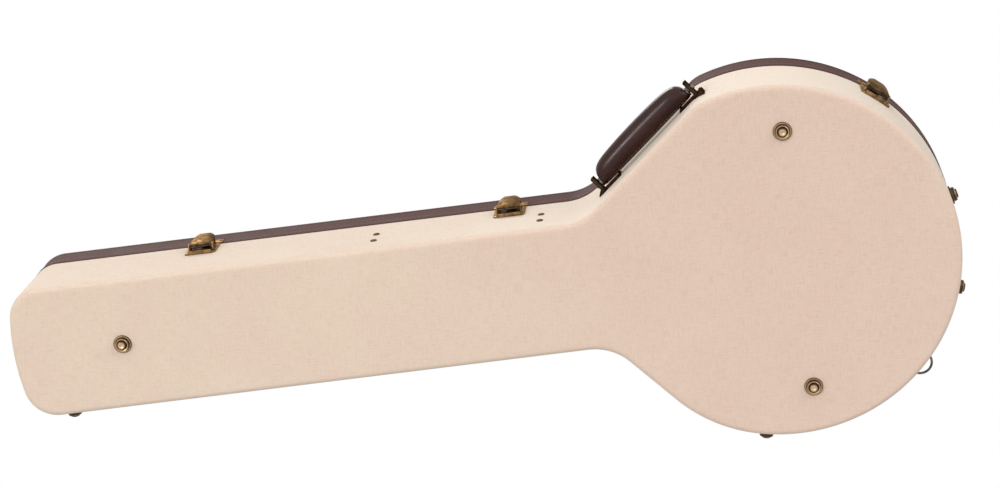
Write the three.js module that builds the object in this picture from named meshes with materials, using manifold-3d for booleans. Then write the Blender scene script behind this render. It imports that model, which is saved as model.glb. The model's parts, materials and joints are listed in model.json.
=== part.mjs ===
// Hard case for a resonator banjo: a plywood base and lid in the outline of the instrument.
// Millimetres. The case lies flat on its three bottom feet with the lid up.
// +X points to the drum end, +Y to the hinges, -Y to the latches and handle, +Z up.
import * as THREE from 'three';
import { mergeVertices } from 'three/addons/utils/BufferGeometryUtils.js';
import Module from 'manifold-3d';

const wasm = await Module();
wasm.setup();

// Outline of the case, seen from above. The drum is centred on X = 0, Y = 0.
const caseLength = 1080;
const drumRadius = 202;
const waistHalfWidth = 74.4;
const endHalfWidth = 77.2;
const endRadius = 272;
const cornerRadius = 38;
const waistRadius = 60;
// The shoulder that carries the handle is flat.
const flatInset = 11.5;
const flatAngle = THREE.MathUtils.degToRad(-129.5);
const flatBlendRadius = 40;
// The other shoulder is flattened a little, and runs softly into the drum.
const hingeFlatInset = 6;
const hingeFlatAngle = THREE.MathUtils.degToRad(138);
const hingeBlendOffset = 32;

// Shell.
const baseDepth = 106;
const lidDepth = 44;
const lidArch = 10;
const lidArchWidth = 32;
const wallThickness = 6;
const panelThickness = 7;
const panelEdgeRadius = 6.5;
const lidPanelThickness = 5;
const bindingWidth = 4;
const bindingBulge = 0.8;
const seamGap = 0.6;
const valanceThickness = 3;
const valanceDepth = 10;
const valanceRise = 8;
const valanceClearance = 0.8;

// Lining.
const floorPadThickness = 10;
const sideLiningThickness = 8;
const lidLiningThickness = 6;
const ceilingPadThickness = 8;
const lidLiningLift = 4;

// Accessory compartment under the neck.
const headPartitionFromDrum = 247;
const drumPartitionFromDrum = 57;
const partitionThickness = 9;
const compartmentTop = 66;
const flapThickness = 6;
const flapClearance = 0.5;
const flapWidth = 66;
const ledgeWidth = 5;
const ledgeDepth = 9;
const pullTabWidth = 18;
const pullTabLength = 14;
const pullTabThickness = 1.2;
const neckRestLength = 30;
const neckRestHeight = 74;
const neckSlotWidth = 58;
const neckSlotDepth = 26;

// Feet: pressed glides nailed into the plywood.
const footFlangeRadius = 10.5;
const footFlangeHeight = 2;
const footStepRadius = 8;
const footStepHeight = 5;
const footTipRadius = 4.5;
const footHeight = 8;
const footNailRadius = 1.6;
const footNailLength = 5;
const bottomDrumFootX = 21.5;
const bottomLatchFootInset = 53;
const bottomHingeFootInset = 55.5;
const bottomHeadFootFromEnd = 129;
const drumSideFootAngle = THREE.MathUtils.degToRad(100.5);
const drumSideFootLevel = 17.5;
const headSideFootFromEnd = 53;
const headSideFootLevel = 20;
const latchEndFootAngle = THREE.MathUtils.degToRad(-13.5);
const hingeEndFootAngle = THREE.MathUtils.degToRad(16.7);
const endFootLevel = 25;

// Hinges: three knuckles on a pin that lies on the line touching the drum and the head corner.
const hingeAxisOut = 3.4;
const knuckleRadius = 2.4;
const hingePinRadius = 1.1;
const leafThickness = 1.8;
const leafHeight = 18;
const drumHingeWidth = 52;
const headHingeWidth = 28;
const hingeLeafBackDepth = 6;

// Latches: a hood that swings down off a keeper on the lid.
const headLatchFromEnd = 220;
const waistLatchFromDrum = 95;
const drumLatchAngle = THREE.MathUtils.degToRad(-50.5);
const latchPlateWidth = 36;
const latchPlateHeight = 36.5;
const latchPlateDrop = 2.5;
const latchPlateThickness = 1.5;
const latchPlateCornerRadius = 4;
const latchLipDepth = 3;
const latchLipThickness = 1.2;
const hoodWidth = 26;
const hoodTop = 11;
const hoodFront = 13.2;
const hoodFootFront = 9;
const hoodSideFront = 10;
const hoodCrownDrop = 1;
const hoodWall = 1.4;
const hoodBack = 2.5;
const hoodRimBack = 8.4;
const hoodBelowPivot = 2;
const latchPivotDrop = 24;
const latchPivotOut = 6;
const latchPinRadius = 1.5;
const cheekThickness = 1.4;
const cheekReach = 3.2;
const keeperWidth = 40;
const keeperHeight = 14;
const keeperRise = 2;
const keeperThickness = 1.5;
const keeperNoseWidth = 16;
const keeperNoseReach = 8;
const keeperNoseThickness = 2.5;
const keeperNoseRise = 4.5;

// Handle: a padded grip between two slotted plates on the flat shoulder. It lies close to the
// shoulder, swings, and pulls out along the slots to let the fingers in.
const handleLevel = 46;
const handleShift = -4;
const handlePinHalfSpan = 73;
const handleAxisOut = 9.5;
const handlePinRadius = 2.3;
const handlePinOverrun = 2;
const handlePlateInnerReach = 48;
const handlePlateOuterReach = 83;
const handlePlateWidth = 20;
const handlePlateThickness = 1.5;
const handleLugThickness = 4;
const handleLugHalfWidth = 6;
const handlePull = 7;
const gripHalfLength = 69;
const gripArch = 7.9;
const gripMidHalfWidth = 13;
const gripMidHalfThickness = 14.2;
const gripEndHalfWidth = 6;
const gripEndHalfThickness = 5;
const gripTaperShare = 0.18;
const gripEndPlateThickness = 1.8;

// Shoulder strap ring on the hinge side of the drum.
const strapRingAngle = THREE.MathUtils.degToRad(46);
const strapRingLevel = 50;
const ringWireRadius = 1.4;
const ringHalfWidth = 13;
const ringNeck = 1.9;
const ringCornerRadius = 1.8;
const ringAxisOut = 4.2;
const clipHalfWidth = 7;
const clipThickness = 1.3;
const clipTabHeight = 16;

// Fasteners.
const partitionRivetHeadRadius = 3.8;
const partitionRivetHeadHeight = 1.8;
const partitionRivetShankRadius = 1.8;
const partitionRivetGrip = 6;
const partitionRivetLowLevel = 32;
const partitionRivetHighLevel = 59;
const plateRivetHeadRadius = 2.3;
const plateRivetHeadHeight = 1.1;
const plateRivetShankRadius = 1.1;
const plateRivetLength = 4.5;

// Clearances and fineness.
const fitGap = 0.3;
const cutOverrun = 1;
const chordError = 0.45;
const rightAngle = Math.PI / 2;

// Solids.

function solid(points, triangles) {
  const across = new THREE.Vector3();
  let volume = 0;
  for (const [a, b, c] of triangles) {
    volume += points[a].dot(across.crossVectors(points[b], points[c]));
  }
  const geometry = new THREE.BufferGeometry().setFromPoints(points);
  geometry.setIndex(triangles.flatMap(([a, b, c]) => (volume < 0 ? [a, c, b] : [a, b, c])));
  return geometry;
}

// One closed mesh with shared corners, without the flat triangles at a turned shape's poles.
function welded(geometry) {
  const plain = geometry.clone();
  plain.deleteAttribute('normal');
  plain.deleteAttribute('uv');
  const merged = mergeVertices(plain);
  const corners = merged.getIndex().array;
  const kept = [];
  for (let i = 0; i < corners.length; i += 3) {
    const [a, b, c] = [corners[i], corners[i + 1], corners[i + 2]];
    if (a !== b && b !== c && c !== a) {
      kept.push(a, b, c);
    }
  }
  merged.setIndex(kept);
  return merged;
}

function toManifold(geometry) {
  const shape = welded(geometry);
  const vertProperties = new Float32Array(shape.getAttribute('position').array);
  const triVerts = new Uint32Array(shape.getIndex().array);
  return new wasm.Manifold(new wasm.Mesh({ numProp: 3, vertProperties, triVerts }));
}

function fromManifold(shape) {
  const mesh = shape.getMesh();
  const geometry = new THREE.BufferGeometry();
  geometry.setAttribute('position', new THREE.BufferAttribute(mesh.vertProperties, 3));
  geometry.setIndex(new THREE.BufferAttribute(mesh.triVerts, 1));
  return geometry;
}

function joined(first, ...others) {
  return fromManifold(others.reduce((sum, other) => sum.add(toManifold(other)), toManifold(first)));
}

function overlap(first, ...others) {
  return fromManifold(others.reduce((rest, other) => rest.intersect(toManifold(other)), toManifold(first)));
}

function cut(body, ...tools) {
  return fromManifold(tools.reduce((rest, tool) => rest.subtract(toManifold(tool)), toManifold(body)));
}

function box([x0, x1], [y0, y1], [z0, z1]) {
  const geometry = new THREE.BoxGeometry(x1 - x0, y1 - y0, z1 - z0);
  return geometry.translate((x0 + x1) / 2, (y0 + y1) / 2, (z0 + z1) / 2);
}

// A round bar along X, between two ends.
function barAlongX(radius, [x0, x1], y, z, sides = 12) {
  const bar = new THREE.CylinderGeometry(radius, radius, x1 - x0, sides);
  return bar.rotateZ(rightAngle).translate((x0 + x1) / 2, y, z);
}

// A flat shape drawn in X and Z, given its thickness along Y.
function plate(shape, [y0, y1], curveSegments = 4) {
  const geometry = new THREE.ExtrudeGeometry(shape, { depth: y1 - y0, bevelEnabled: false, curveSegments });
  return geometry.rotateX(rightAngle).translate(0, y1, 0);
}

// Rings of points joined in order, with a flat end at the first and the last.
function loft(rings) {
  const count = rings[0].length;
  const triangles = [];
  for (let ring = 0; ring + 1 < rings.length; ring += 1) {
    for (let i = 0; i < count; i += 1) {
      const [a, b] = [ring * count + i, ring * count + ((i + 1) % count)];
      triangles.push([a, b, b + count], [a, b + count, a + count]);
    }
  }
  const last = (rings.length - 1) * count;
  for (let i = 1; i + 1 < count; i += 1) {
    triangles.push([0, i + 1, i], [last, last + i, last + i + 1]);
  }
  return solid(rings.flat(), triangles);
}

// Outlines. An outline is a row of stops, each on an arc, with its outward direction.

const heading = (angle) => new THREE.Vector2(Math.cos(angle), Math.sin(angle));

function lineThrough(point, angle) {
  const normal = heading(angle);
  return { normal, angle, reach: normal.dot(point) };
}

// The point at a given height over a line and a given distance from a centre, on the side asked for.
function overLineAndCentre(line, height, centre, distance, side) {
  const rise = line.reach + height - line.normal.dot(centre);
  const along = Math.sqrt(distance * distance - rise * rise);
  const foot = centre.clone().addScaledVector(line.normal, rise);
  const step = new THREE.Vector2(-line.normal.y, line.normal.x).multiplyScalar(along);
  const choices = [foot.clone().add(step), foot.clone().sub(step)];
  return choices[0].dot(side) > choices[1].dot(side) ? choices[0] : choices[1];
}

function overTwoLines(one, two, height) {
  const [a, b] = [one.reach + height, two.reach + height];
  const span = one.normal.cross(two.normal);
  const x = (a * two.normal.y - b * one.normal.y) / span;
  const y = (one.normal.x * b - two.normal.x * a) / span;
  return new THREE.Vector2(x, y);
}

// Arcs with a positive radius bulge out, and those with a negative one curve in.
function stopsAlong(arcs) {
  const stops = [];
  for (const { centre, radius, from, to } of arcs) {
    const largestStep = 2 * Math.acos(1 - Math.min(chordError / Math.abs(radius), 0.5));
    const steps = Math.max(2, Math.ceil(Math.abs(to - from) / largestStep));
    for (let i = 0; i <= steps; i += 1) {
      stops.push({ centre, radius, angle: from + ((to - from) * i) / steps });
    }
  }
  const spot = (stop) => heading(stop.angle).multiplyScalar(stop.radius).add(stop.centre);
  return stops.filter((stop, i) => {
    const before = stops[(i + stops.length - 1) % stops.length];
    return spot(stop).distanceTo(spot(before)) > fitGap / 2;
  });
}

function atStop({ centre, radius, angle }, inset, z) {
  const out = heading(angle).multiplyScalar(radius - inset).add(centre);
  return new THREE.Vector3(out.x, out.y, z);
}

// A closed section of [inset, height] points carried round an outline.
function band(stops, section) {
  const columns = section.length;
  const points = stops.flatMap((stop) => section.map(([inset, z]) => atStop(stop, inset, z)));
  const triangles = [];
  for (let i = 0; i < stops.length; i += 1) {
    const next = (i + 1) % stops.length;
    for (let j = 0; j < columns; j += 1) {
      const over = (j + 1) % columns;
      const [a, b] = [i * columns + j, next * columns + j];
      const [c, d] = [next * columns + over, i * columns + over];
      triangles.push([a, b, c], [a, c, d]);
    }
  }
  return solid(points, triangles);
}

// A filled outline built up from rings of [inset, height].
function slab(stops, rings) {
  const count = stops.length;
  const points = rings.flatMap(([inset, z]) => stops.map((stop) => atStop(stop, inset, z)));
  const triangles = [];
  for (let ring = 0; ring + 1 < rings.length; ring += 1) {
    for (let i = 0; i < count; i += 1) {
      const [a, b] = [ring * count + i, ring * count + ((i + 1) % count)];
      triangles.push([a, b, b + count], [a, b + count, a + count]);
    }
  }
  const cap = (first, facesUp) => {
    const flat = points.slice(first, first + count).map((point) => new THREE.Vector2(point.x, point.y));
    for (const [a, b, c] of THREE.ShapeUtils.triangulateShape(flat, [])) {
      const turnsUp = THREE.ShapeUtils.area([flat[a], flat[b], flat[c]]) > 0;
      triangles.push(turnsUp === facesUp ? [first + a, first + b, first + c] : [first + a, first + c, first + b]);
    }
  };
  cap(0, false);
  cap((rings.length - 1) * count, true);
  return solid(points, triangles);
}

// The case outline.

const origin = new THREE.Vector2(0, 0);
const towardsHead = new THREE.Vector2(-1, 0);
const headX = drumRadius - caseLength;
const taper = Math.atan2(endHalfWidth - waistHalfWidth, -drumRadius - headX);
const hingeNeckAngle = rightAngle - taper;
const hingeNeckLine = lineThrough(new THREE.Vector2(-drumRadius, waistHalfWidth), hingeNeckAngle);
const latchNeckLine = lineThrough(new THREE.Vector2(-drumRadius, -waistHalfWidth), -hingeNeckAngle);
const flatLine = lineThrough(heading(flatAngle).multiplyScalar(drumRadius - flatInset), flatAngle);
const hingeFlatFoot = heading(hingeFlatAngle).multiplyScalar(drumRadius - hingeFlatInset);
const hingeFlatLine = lineThrough(hingeFlatFoot, hingeFlatAngle);

const endCentre = new THREE.Vector2(headX + endRadius, 0);
const cornerFromEnd = endRadius - cornerRadius;
const hingeCorner = overLineAndCentre(hingeNeckLine, -cornerRadius, endCentre, cornerFromEnd, towardsHead);
const latchCorner = new THREE.Vector2(hingeCorner.x, -hingeCorner.y);
const hingeWaist = overTwoLines(hingeNeckLine, hingeFlatLine, waistRadius);
const latchWaist = overTwoLines(latchNeckLine, flatLine, waistRadius);
const towardsDrum = new THREE.Vector2(1, 0);
const blendIn = (line, radius) => overLineAndCentre(line, -radius, origin, drumRadius - radius, towardsDrum);
const flatBlend = blendIn(flatLine, flatBlendRadius);
const hingeBlendRadius = drumRadius - hingeBlendOffset;
const hingeBlend = blendIn(hingeFlatLine, hingeBlendRadius);
const cornerTurn = hingeCorner.clone().sub(endCentre).angle();
const fullTurn = 4 * rightAngle;

const outline = stopsAlong([
  { centre: origin, radius: drumRadius, from: flatBlend.angle() - fullTurn, to: hingeBlend.angle() },
  { centre: hingeBlend, radius: hingeBlendRadius, from: hingeBlend.angle(), to: hingeFlatAngle },
  { centre: hingeWaist, radius: -waistRadius, from: hingeFlatAngle, to: hingeNeckAngle },
  { centre: hingeCorner, radius: cornerRadius, from: hingeNeckAngle, to: cornerTurn },
  { centre: endCentre, radius: endRadius, from: cornerTurn, to: fullTurn - cornerTurn },
  { centre: latchCorner, radius: cornerRadius, from: fullTurn - cornerTurn, to: fullTurn - hingeNeckAngle },
  { centre: latchWaist, radius: -waistRadius, from: fullTurn - hingeNeckAngle, to: flatAngle + fullTurn },
  { centre: flatBlend, radius: flatBlendRadius, from: flatAngle + fullTurn, to: flatBlend.angle() },
]);

const headPartitionX = -drumRadius - headPartitionFromDrum;
const drumPartitionX = -drumRadius - drumPartitionFromDrum;

// Half the width of the neck box at a place along it.
const neckHalfWidth = (x) => (hingeNeckLine.reach - hingeNeckLine.normal.x * x) / hingeNeckLine.normal.y;

// Levels, from the outer face of the bottom panel.
const wallFoot = panelThickness + fitGap;
const floorTop = wallFoot + floorPadThickness;
const valanceFoot = baseDepth - valanceDepth;
const valanceTop = baseDepth + valanceRise;
const seam = baseDepth + seamGap;
const lidEdgeTop = baseDepth + lidDepth;
const rimTop = lidEdgeTop - lidPanelThickness - fitGap;
const lidLiningFoot = valanceTop + lidLiningLift;
const ceilingFoot = rimTop - ceilingPadThickness;

// Insets from the outer face of the walls.
const liningInset = wallThickness + fitGap;
const wellInset = liningInset + sideLiningThickness;
const valanceInset = wallThickness + valanceClearance;
const lidPanelInset = bindingWidth + fitGap;

// Finishes.
const finish = (color, roughness, metalness = 0) => new THREE.MeshStandardMaterial({ color, roughness, metalness });
const linen = finish(0xe0c7b0, 0.9);
const leatherette = finish(0x55403a, 0.55);
const plush = finish(0x5a1a26, 0.95);
const wrappedBoard = finish(0x4e1620, 0.95);
const brass = finish(0x7a6242, 0.45, 0.9);
const leather = finish(0x3b271e, 0.4);
const darkSteel = finish(0x4a443c, 0.4, 0.9);

const bench = new THREE.Group();

function piece(name, geometry, material, parent = bench) {
  geometry.computeVertexNormals();
  const mesh = new THREE.Mesh(geometry, material);
  mesh.name = name;
  parent.add(mesh);
  return mesh;
}

// Places on the wall: a group whose Y points straight out of the wall and whose Z points up.
function onWall(point, angle, level) {
  const group = new THREE.Group();
  group.position.set(point.x, point.y, level);
  group.rotation.z = angle - rightAngle;
  group.updateMatrixWorld();
  bench.add(group);
  return group;
}

const onDrum = (angle, level) => onWall(heading(angle).multiplyScalar(drumRadius), angle, level);

function onNeck(line, x, level) {
  const y = (line.reach - line.normal.x * x) / line.normal.y;
  return onWall(new THREE.Vector2(x, y), line.angle, level);
}

const inGroup = (geometry, group) => geometry.clone().applyMatrix4(group.matrixWorld.clone().invert());
const outOfGroup = (geometry, group) => geometry.clone().applyMatrix4(group.matrixWorld);

// The space that the closed case takes up, for trimming what seats on its walls.
const caseSpace = slab(outline, [[-fitGap, -footHeight], [-fitGap, lidEdgeTop + lidArch]]);
const seated = (geometry, group) => cut(geometry, inGroup(caseSpace, group));

// A rivet along Y: its head sits at a height over the wall, and its shank reaches into it.
function rivet(headRadius, headHeight, shankRadius, seat, depth, sides) {
  const profile = [
    new THREE.Vector2(0, -depth),
    new THREE.Vector2(shankRadius, -depth),
    new THREE.Vector2(shankRadius, seat),
    new THREE.Vector2(headRadius, seat),
    new THREE.Vector2(headRadius / 2, seat + headHeight),
    new THREE.Vector2(0, seat + headHeight),
  ];
  return welded(new THREE.LatheGeometry(profile, sides));
}

function shankHole(shankRadius, height, depth, sides) {
  const hole = new THREE.CylinderGeometry(shankRadius + fitGap, shankRadius + fitGap, height + depth, sides);
  return hole.translate(0, (height - depth) / 2, 0);
}

// Fixes a plate with rivets formed on it, and adds their holes to the walls behind.
const plateRivetSides = 6;
function riveted(plateGeometry, places, group, thickness, holes) {
  const hole = shankHole(plateRivetShankRadius, cutOverrun, plateRivetLength + fitGap, plateRivetSides);
  holes.push(...places.map(([x, z]) => outOfGroup(hole.clone().translate(x, 0, z), group)));
  const headHeight = plateRivetHeadHeight + thickness / 2;
  const shape = rivet(
    plateRivetHeadRadius,
    headHeight,
    plateRivetShankRadius,
    thickness / 2,
    plateRivetLength,
    plateRivetSides,
  );
  return joined(plateGeometry, ...places.map(([x, z]) => shape.clone().translate(x, 0, z)));
}

const baseWallHoles = [];
const rimHoles = [];
const panelHoles = [];
const liningHoles = [];

// Feet.

const footProfile = [
  new THREE.Vector2(0, -footNailLength),
  new THREE.Vector2(footNailRadius, -footNailLength),
  new THREE.Vector2(footNailRadius, fitGap),
  new THREE.Vector2(footFlangeRadius, fitGap),
  new THREE.Vector2(footFlangeRadius, footFlangeHeight),
  new THREE.Vector2(footStepRadius, footFlangeHeight),
  new THREE.Vector2(footStepRadius, footStepHeight),
  new THREE.Vector2(footTipRadius, footHeight),
  new THREE.Vector2(0, footHeight),
];
const footSides = 14;

function foot(name, group, holes) {
  piece(name, welded(new THREE.LatheGeometry(footProfile, footSides)), brass, group);
  const hole = shankHole(footNailRadius, cutOverrun, footNailLength + fitGap, footSides);
  holes.push(outOfGroup(hole, group));
}

function bottomFoot(name, x, y) {
  const group = new THREE.Group();
  group.position.set(x, y, 0);
  group.rotation.x = -rightAngle;
  group.updateMatrixWorld();
  bench.add(group);
  foot(name, group, panelHoles);
}

bottomFoot('foot_bottom_drum_latch_side', bottomDrumFootX, bottomLatchFootInset - drumRadius);
bottomFoot('foot_bottom_drum_hinge_side', bottomDrumFootX, drumRadius - bottomHingeFootInset);
bottomFoot('foot_bottom_head', headX + bottomHeadFootFromEnd, 0);
foot('foot_side_drum', onDrum(drumSideFootAngle, drumSideFootLevel), baseWallHoles);
const headSideFootX = headX + headSideFootFromEnd;
foot('foot_side_head', onNeck(hingeNeckLine, headSideFootX, headSideFootLevel), baseWallHoles);
foot('foot_end_latch_side', onDrum(latchEndFootAngle, endFootLevel), baseWallHoles);
foot('foot_end_hinge_side', onDrum(hingeEndFootAngle, endFootLevel), baseWallHoles);

// Latches.

const hoodHalf = hoodWidth / 2;
const pivotZ = -latchPivotDrop;
const hoodFoot = pivotZ - hoodBelowPivot;

function latchPlateShape() {
  const [half, top, r] = [latchPlateWidth / 2, -latchPlateDrop, latchPlateCornerRadius];
  const foot = top - latchPlateHeight;
  const shape = new THREE.Shape();
  shape.moveTo(half, top);
  shape.lineTo(-half, top);
  shape.lineTo(-half, foot + r);
  shape.absarc(-half + r, foot + r, r, 2 * rightAngle, 3 * rightAngle);
  shape.lineTo(half - r, foot);
  shape.absarc(half - r, foot + r, r, 3 * rightAngle, fullTurn);
  return shape;
}

// A straight foot and a round head, like a tombstone.
function hoodShape(inset, foot) {
  const half = hoodHalf - inset;
  const shape = new THREE.Shape();
  shape.moveTo(-half, foot);
  shape.lineTo(half, foot);
  shape.absarc(0, hoodTop - hoodHalf, half, 0, 2 * rightAngle);
  return shape;
}

// What lies behind a hood's crowned front, which bows from side to side and from foot to head.
function behindCrown(inset) {
  const sides = 40;
  const front = hoodFront - inset;
  const foot = hoodFoot + hoodCrownDrop;
  const bowHalfWidth = hoodHalf / Math.sqrt(1 - (hoodSideFront / hoodFront) ** 2);
  const bowHalfHeight = -foot / Math.sqrt(1 - (hoodFootFront / hoodFront) ** 2);
  const across = new THREE.CylinderGeometry(1, 1, 2 * bowHalfHeight, sides);
  across.rotateX(rightAngle).scale(bowHalfWidth - inset, front, 1).translate(0, 0, -hoodCrownDrop);
  const along = barAlongX(1, [-bowHalfWidth, bowHalfWidth], 0, 0, sides);
  along.scale(1, front, bowHalfHeight - inset).translate(0, 0, -hoodCrownDrop);
  return overlap(across, along);
}

function hoodGeometry() {
  const outer = overlap(plate(hoodShape(0, hoodFoot), [0, hoodFront], 8), behindCrown(0));
  const behind = -latchPlateHeight;
  const inner = plate(hoodShape(hoodWall, 2 * hoodFoot), [behind, hoodFront], 8);
  const hollow = overlap(inner, behindCrown(hoodWall));
  const flanges = box([-hoodWidth, hoodWidth], [behind, hoodBack], [2 * hoodFoot, hoodTop + hoodWidth]);
  const shallow = box([-hoodWidth, hoodWidth], [behind, hoodRimBack], [-latchPlateDrop, hoodTop + hoodWidth]);
  const pinHole = barAlongX(latchPinRadius + fitGap, [-hoodWidth, hoodWidth], latchPivotOut, pivotZ);
  return cut(outer, hollow, flanges, shallow, pinHole);
}

function latchBaseGeometry(group) {
  const inner = hoodHalf + fitGap;
  const footZ = -latchPlateDrop - latchPlateHeight;
  const lipHalf = latchPlateWidth / 2 - latchPlateCornerRadius;
  const lipBack = latchPlateThickness / 2;
  const lipFront = latchPlateThickness + latchLipDepth;
  const cheekFront = latchPivotOut + cheekReach;
  const cheekSpan = [pivotZ - cheekReach, pivotZ + cheekReach + latchPinRadius];
  const pinHole = barAlongX(latchPinRadius + fitGap, [-latchPlateWidth, latchPlateWidth], latchPivotOut, pivotZ);
  const shape = joined(
    plate(latchPlateShape(), [-latchPlateCornerRadius, latchPlateThickness]),
    box([-lipHalf, lipHalf], [lipBack, lipFront], [footZ, footZ + latchLipThickness]),
    box([inner, inner + cheekThickness], [lipBack, cheekFront], cheekSpan),
    box([-inner - cheekThickness, -inner], [lipBack, cheekFront], cheekSpan),
  );
  return cut(seated(shape, group), pinHole);
}

function keeperGeometry(group) {
  const rise = seamGap + keeperRise;
  const half = keeperWidth / 2;
  const noseHalf = keeperNoseWidth / 2;
  const noseFoot = rise + keeperNoseRise;
  const shape = joined(
    box([-half, half], [-latchPlateCornerRadius, keeperThickness], [rise, rise + keeperHeight]),
    box([-noseHalf, noseHalf], [0, keeperNoseReach], [noseFoot, noseFoot + keeperNoseThickness]),
  );
  return seated(shape, group);
}

const latchRivetX = hoodHalf - plateRivetHeadRadius - fitGap;
const latchRivetZ = (hoodFoot - latchPlateDrop - latchPlateHeight) / 2;
const latchRivetPlaces = [-latchRivetX, latchRivetX].map((x) => [x, latchRivetZ]);
const keeperRivetX = (hoodHalf + keeperWidth / 2) / 2;
const keeperRivetZ = seamGap + keeperRise + keeperHeight / 2;
const keeperRivetPlaces = [-keeperRivetX, keeperRivetX].map((x) => [x, keeperRivetZ]);

function latch(name, group) {
  const base = latchBaseGeometry(group);
  const fixedBase = riveted(base, latchRivetPlaces, group, latchPlateThickness, baseWallHoles);
  piece(`${name}_base`, fixedBase, brass, group);
  const pinHalf = hoodHalf + 2 * fitGap + cheekThickness + fitGap;
  piece(`${name}_pin`, barAlongX(latchPinRadius, [-pinHalf, pinHalf], latchPivotOut, pivotZ), darkSteel, group);
  piece(`${name}_hood`, hoodGeometry(), brass, group);
  const keeper = riveted(keeperGeometry(group), keeperRivetPlaces, group, keeperThickness, rimHoles);
  piece(`${name}_keeper`, keeper, brass, group);
  return group;
}

const headLatch = latch('latch_head', onNeck(latchNeckLine, headX + headLatchFromEnd, baseDepth));
const waistLatch = latch('latch_waist', onNeck(latchNeckLine, -drumRadius - waistLatchFromDrum, baseDepth));
const drumLatch = latch('latch_drum', onDrum(drumLatchAngle, baseDepth));

// Hinges, on the straight line that touches the drum and the hinge-side head corner.

const hullAngle = hingeCorner.angle() - Math.acos((drumRadius - cornerRadius) / hingeCorner.length());
const cornerTouch = heading(hullAngle).multiplyScalar(cornerRadius).add(hingeCorner);
const hingeRivetZ = leafHeight / 2 + knuckleRadius;

function hinge(name, group, width) {
  const half = width / 2;
  const knuckle = width / 3 / 2;
  const axisZ = seamGap / 2;
  const barrel = (radius, span) => barAlongX(radius, span, hingeAxisOut, axisZ);
  const outerSpans = [[-half, -knuckle - fitGap], [knuckle + fitGap, half]];
  const grown = ([from, to]) => barrel(knuckleRadius + fitGap, [from - fitGap, to + fitGap]);
  const bore = barrel(hingePinRadius + fitGap, [-width, width]);
  const back = [-hingeLeafBackDepth, leafThickness];
  const rivetX = half - 2 * plateRivetHeadRadius;
  const basePlaces = [-rivetX, rivetX].map((x) => [x, -hingeRivetZ]);
  const lidPlaces = [-rivetX, rivetX].map((x) => [x, seamGap + hingeRivetZ]);

  const baseFlap = box([-half, half], back, [-leafHeight, -fitGap]);
  const baseLeaf = joined(cut(baseFlap, grown([-knuckle, knuckle])), ...outerSpans.map((s) => barrel(knuckleRadius, s)));
  const baseShape = cut(seated(baseLeaf, group), bore);
  piece(`${name}_base_leaf`, riveted(baseShape, basePlaces, group, leafThickness, baseWallHoles), brass, group);

  const lidFlap = box([-half, half], back, [seamGap + fitGap, seamGap + leafHeight]);
  const lidLeaf = joined(cut(lidFlap, ...outerSpans.map(grown)), barrel(knuckleRadius, [-knuckle, knuckle]));
  const lidShape = cut(seated(lidLeaf, group), bore);
  piece(`${name}_lid_leaf`, riveted(lidShape, lidPlaces, group, leafThickness, rimHoles), brass, group);

  piece(`${name}_pin`, barrel(hingePinRadius, [-half, half]), darkSteel, group);
}

const drumHinge = onDrum(hullAngle, baseDepth);
const headHinge = onWall(cornerTouch, hullAngle, baseDepth);
hinge('hinge_drum', drumHinge, drumHingeWidth);
hinge('hinge_head', headHinge, headHingeWidth);

// Handle on the flat shoulder.

const flatTangent = heading(flatAngle - rightAngle);
const handleFoot = heading(flatAngle).multiplyScalar(drumRadius - flatInset).addScaledVector(flatTangent, -handleShift);
const handle = onWall(handleFoot, flatAngle, handleLevel);
const lugTop = handleAxisOut + handlePull + handlePinRadius + fitGap + handlePlateThickness;

function handlePlate(name, side) {
  const outwards = (span) => span.map((x) => side * x).sort((from, to) => from - to);
  const lug = outwards([handlePinHalfSpan, handlePinHalfSpan + handleLugThickness]);
  const halfWidth = handlePlateWidth / 2;
  const shape = joined(
    box(
      outwards([handlePlateInnerReach, handlePlateOuterReach]),
      [-hingeLeafBackDepth, handlePlateThickness],
      [-halfWidth, halfWidth],
    ),
    box(lug, [0, lugTop], [-handleLugHalfWidth, handleLugHalfWidth]),
  );
  const slotHalf = handlePinRadius + fitGap;
  const slotSpan = [lug[0] - cutOverrun, lug[1] + cutOverrun];
  const slotReach = [handleAxisOut, handleAxisOut + handlePull];
  const slot = [box(slotSpan, slotReach, [-slotHalf, slotHalf])];
  slot.push(...slotReach.map((out) => barAlongX(slotHalf, slotSpan, out, 0)));
  const edge = plateRivetHeadRadius + fitGap;
  const rivetXs = [handlePlateInnerReach + edge, handlePlateOuterReach - edge];
  const rivetZs = [edge - halfWidth, halfWidth - edge];
  const places = rivetXs.flatMap((x) => rivetZs.map((z) => [side * x, z]));
  const fixed = riveted(cut(seated(shape, handle), ...slot), places, handle, handlePlateThickness, baseWallHoles);
  piece(name, fixed, brass, handle);
}

// The pad tapers a little from its middle, and rounds off to the pins at its ends.
function gripRing(share) {
  const sides = 14;
  const fullness = (1 - gripTaperShare * share ** 2) * Math.sqrt(1 - share ** 10);
  const rise = handleAxisOut + gripArch * fullness;
  const halfWidth = gripEndHalfWidth + (gripMidHalfWidth - gripEndHalfWidth) * fullness;
  const halfThickness = gripEndHalfThickness + (gripMidHalfThickness - gripEndHalfThickness) * fullness;
  return Array.from({ length: sides }, (_, i) => {
    const around = heading((fullTurn * i) / sides);
    return new THREE.Vector3(gripHalfLength * share, rise + halfThickness * around.x, halfWidth * around.y);
  });
}

const gripStationShares = [-1, -0.985, -0.94, -0.86, -0.7, -0.4, 0, 0.4, 0.7, 0.86, 0.94, 0.985, 1];
handlePlate('handle_plate_drum_end', -1);
handlePlate('handle_plate_waist_end', 1);
piece('handle_grip', loft(gripStationShares.map(gripRing)), leather, handle);

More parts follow.
